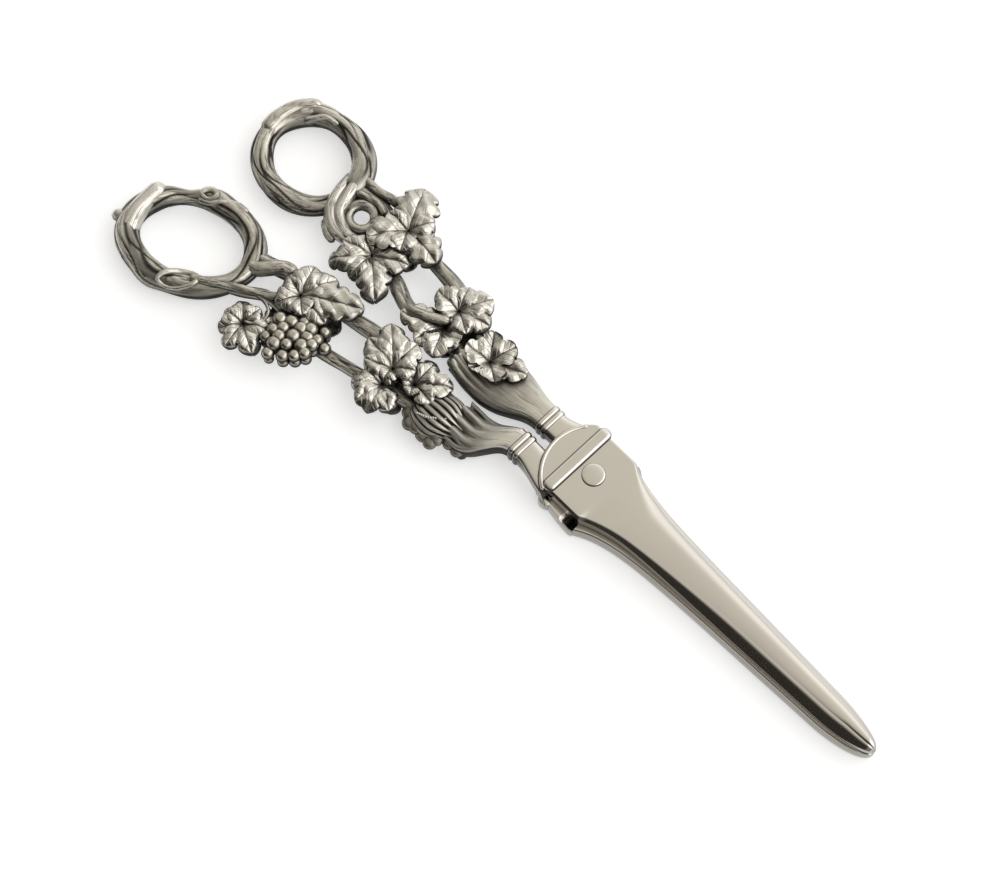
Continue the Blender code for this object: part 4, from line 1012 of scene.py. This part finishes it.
def build_right_arm(leaf, bark_silver, fluted):
    build_calyx(
        "right_calyx", fluted, RIGHT_NECK_Y, end=(-36.0, 1.0), half_width=5.9, depth=0.1,
        shape=((0.0, 0.0), (0.12, 0.08), (0.25, 0.45), (0.38, 0.8), (0.55, 1.0), (0.8, 0.97), (1.0, 0.8)),
        flutes=(7, 0.35, 1.2), shine=0.2, straps=(
            ([(-37.0, -2.5, 1.1), (-33.9, -3.3, 1.4), (-30.5, -3.6, 1.4), (-27.4, -3.2, 1.1),
              (-24.6, -2.0, 0.9)], 1.1, 0.6),
            ([(-36.6, -0.6, 1.7), (-33.0, -1.6, 1.7), (-29.0, -2.0, 1.6), (-25.6, -1.2, 1.4)], 0.9, 0.6)))
    build_bow(
        "right_bow", bark_silver, centre=(-87.6, 7.4), radii=(10.6, 9.6), tilt=0.0, seed=3,
        knots=((125, 0.3, 14), (48, 0.4, 34), (215, 0.15, 40)), strands=(
            ([(-98.5, 4.4, 0.7), (-98.9, 8.6, 1.1), (-98.0, 12.8, 1.3), (-96.0, 15.6, 1.2),
              (-94.4, 16.6, 1.0)], 1.8, 0.85, 0.1, 0.3),
            ([(-97.0, 11.5, 0.9), (-95.0, 14.4, 1.2), (-92.5, 16.7, 1.1), (-89.6, 17.5, 0.7)],
             1.4, 0.7, 0.16, 0.5),
            ([(-95.0, 11.8, 1.1), (-92.3, 15.2, 1.9), (-89.0, 16.3, 1.4)], 0.8, 0.7, 0.16, 0.6)))
    for node, stems in RIGHT_STEMS.items():
        build_stems(node, *stems, bark_silver)
    for node, shape in RIGHT_LEAVES.items():
        build_leaf(node, *shape, leaf)


def build_left_arm(leaf, bark_silver, fluted, smooth):
    build_calyx(
        "left_calyx", fluted, LEFT_NECK_Y, end=(-26.6, -10.3), half_width=4.8, depth=0.35,
        shape=((0.0, 0.0), (0.14, 0.1), (0.28, 0.45), (0.42, 0.8), (0.62, 1.0), (1.0, 1.0)),
        flutes=(4, 1.3, 2.2), shine=0.6)
    build_bow(
        "left_bow", bark_silver, centre=(-91.0, -21.8), radii=(13.1, 9.5), tilt=24.5, seed=4,
        knots=((85, 0.3, 10), (250, 0.4, 12), (112, -0.5, 13), (196, 0.45, 36)), strands=(
            ([(-101.2, -30.6, -0.6), (-102.9, -26.6, 0.75), (-103.6, -22.0, 1.1), (-103.6, -17.8, 1.2)],
             2.3, 0.85, 0.05, 0.8),
            ([(-102.6, -26.8, 0.0), (-105.0, -28.4, 0.3), (-106.4, -29.6, 0.3)], 1.6, 0.85, 0.1, 0.5),
            ([(-96.4, -15.2, 1.5), (-94.2, -14.2, 1.9), (-92.6, -12.4, 1.9), (-90.2, -10.4, 1.4),
              (-87.4, -9.9, 1.0)], 0.7, 0.8, 0.1, 0.5)),
        eyes=((-95.3, -13.0, 1.5, 1.05, 39.0), (-85.9, -29.7, 4.0, 1.85, 45.0)))
    for node, stems in LEFT_STEMS.items():
        build_stems(node, *stems, bark_silver)
    build_stems("left_tendril", 91, 0.0, LEFT_TENDRIL, smooth)
    build_rolled_leaf(fluted)
    build_berries(smooth)
    build_grapes(smooth)
    for node, shape in LEFT_LEAVES.items():
        build_leaf(node, *shape, leaf)


def build_floor():
    """A pale floor that shows white in the open and keeps the shadow."""
    half = 2.5
    corners = [(-half, -half, 0), (half, -half, 0), (half, half, 0), (-half, half, 0)]
    mesh = bpy.data.meshes.new("floor")
    mesh.from_pydata(corners, [], [(0, 1, 2, 3)])
    material, g = new_material("pale_floor")
    ray = g.add("LightPath", {})
    seen = g.math("ADD", ray["Is Camera Ray"], ray["Is Glossy Ray"])
    seen = g.math("ADD", seen, ray["Is Transmission Ray"], clamp=True)
    g.shade({
        "Base Color": g.mix(g.noise(g.place(), 30.0), (0.865, 0.88, 0.905, 1), (0.845, 0.86, 0.885, 1)),
        "Emission Color": (1.0, 1.0, 1.0, 1.0),
        "Emission Strength": g.times(seen, FLOOR_WHITE),
        "Roughness": 0.9,
    })
    mesh.materials.append(material)
    floor = new_object("floor", mesh)


def sky(g, weights, stops):
    """A colour that depends on the direction, by a weighted sum of its parts."""
    direction = g.add("TexCoord", {})["Generated"]
    total = g.add("VectorMath", {0: direction, 1: weights}, operation="DOT_PRODUCT")["Value"]
    colour = g.add("ValToRGB", {0: g.span(total, -SKY_REACH, SKY_REACH)})["Color"]
    elements = colour.node.color_ramp.elements
    for i, (value, stop) in enumerate(stops):
        element = elements[i] if i < 2 else elements.new(1.0)
        element.position = (value + SKY_REACH) / (2 * SKY_REACH)
        element.color = (*stop, 1)
    return colour


def build_light():
    """A room with a beige ceiling, a bright right wall, a dark left one, grey ends and one soft lamp."""
    world = bpy.data.worlds.new("studio")
    bpy.context.scene.world = world
    world.use_nodes = True
    g = Graph(world.node_tree, "Background")
    black, grey = (0.0, 0.0, 0.0), (0.2, 0.195, 0.185)
    light = sky(g, (0.0, 0.6, 1.0), (
        (0.1, (0.035, 0.032, 0.028)), (0.35, (0.06, 0.054, 0.048)), (0.62, (0.30, 0.285, 0.25)),
        (0.88, (0.50, 0.475, 0.42)), (1.1, (0.585, 0.56, 0.49))))
    wall = sky(g, (0.0, 1.0, 0.0), ((0.26, black), (0.66, (0.40, 0.405, 0.42))))
    ends = sky(g, (1.0, 0.0, 0.0), ((-0.7, grey), (-0.42, black), (0.42, black), (0.7, grey)))
    for part in (wall, ends):
        light = g.add("VectorMath", {0: light, 1: part}, operation="ADD")["Vector"]
    g.shade({"Color": light})
    lamp = bpy.data.lights.new("soft_lamp", "SUN")
    lamp.energy = 1.0
    lamp.angle = math.radians(80)
    lamp_object = new_object("soft_lamp", lamp)
    lamp_object.matrix_world = Vector((0.85, 0.45, 0.7)).to_track_quat("Z", "Y").to_matrix().to_4x4()


def build_camera():
    """The photograph's camera: an 85 mm lens that looks down at 70 degrees, the pivot right of the middle."""
    azimuth, elevation = 46.0, 70.0
    lens, sensor, image_width = 85.0, 36.0, 1000
    pixel = 0.190 * MM  # what one pixel covers at the pivot
    pivot_right, pivot_down = 93.5 * pixel, 33 * pixel  # from the picture's middle
    pose = Euler((math.radians(90 - elevation), 0, math.radians(azimuth))).to_matrix().to_4x4()
    right, up, back = (column.to_3d() for column in pose.col[:3])
    distance = lens / sensor * image_width * pixel
    pivot = Vector((0, 0, UPPER_FACE * MM))
    camera = bpy.data.cameras.new("camera")
    camera.lens = lens
    camera.sensor_width = sensor
    camera.clip_start = 0.01
    camera_object = new_object("camera", camera)
    pose.translation = pivot + back * distance - right * pivot_right + up * pivot_down
    camera_object.matrix_world = pose
    bpy.context.scene.camera = camera_object


def main():
    bpy.context.scene.view_settings.view_transform = "Standard"
    polished = polished_silver()
    leaf = chased_silver("leaf_silver", leaf_lines, (0.68, 0.655, 0.605), (0.55, 0.525, 0.47), 0.15)
    bark_silver = chased_silver("bark_silver", bark_lines, (0.70, 0.67, 0.595), (0.54, 0.515, 0.45), 0.22)
    fluted = chased_silver("fluted_silver", rib_lines, (0.82, 0.79, 0.72), (0.70, 0.67, 0.60), 0.22)
    smooth = chased_silver("grape_silver", smooth_lines, (0.68, 0.65, 0.58), (0.55, 0.52, 0.455), 0.13)
    build_blades(polished)
    build_rivet(polished)
    build_right_arm(leaf, bark_silver, fluted)
    build_left_arm(leaf, bark_silver, fluted, smooth)
    for node, shape in BACK_LEAVES.items():
        build_leaf(node, *shape, leaf, back=True)
    build_floor()
    build_light()
    build_camera()


main()
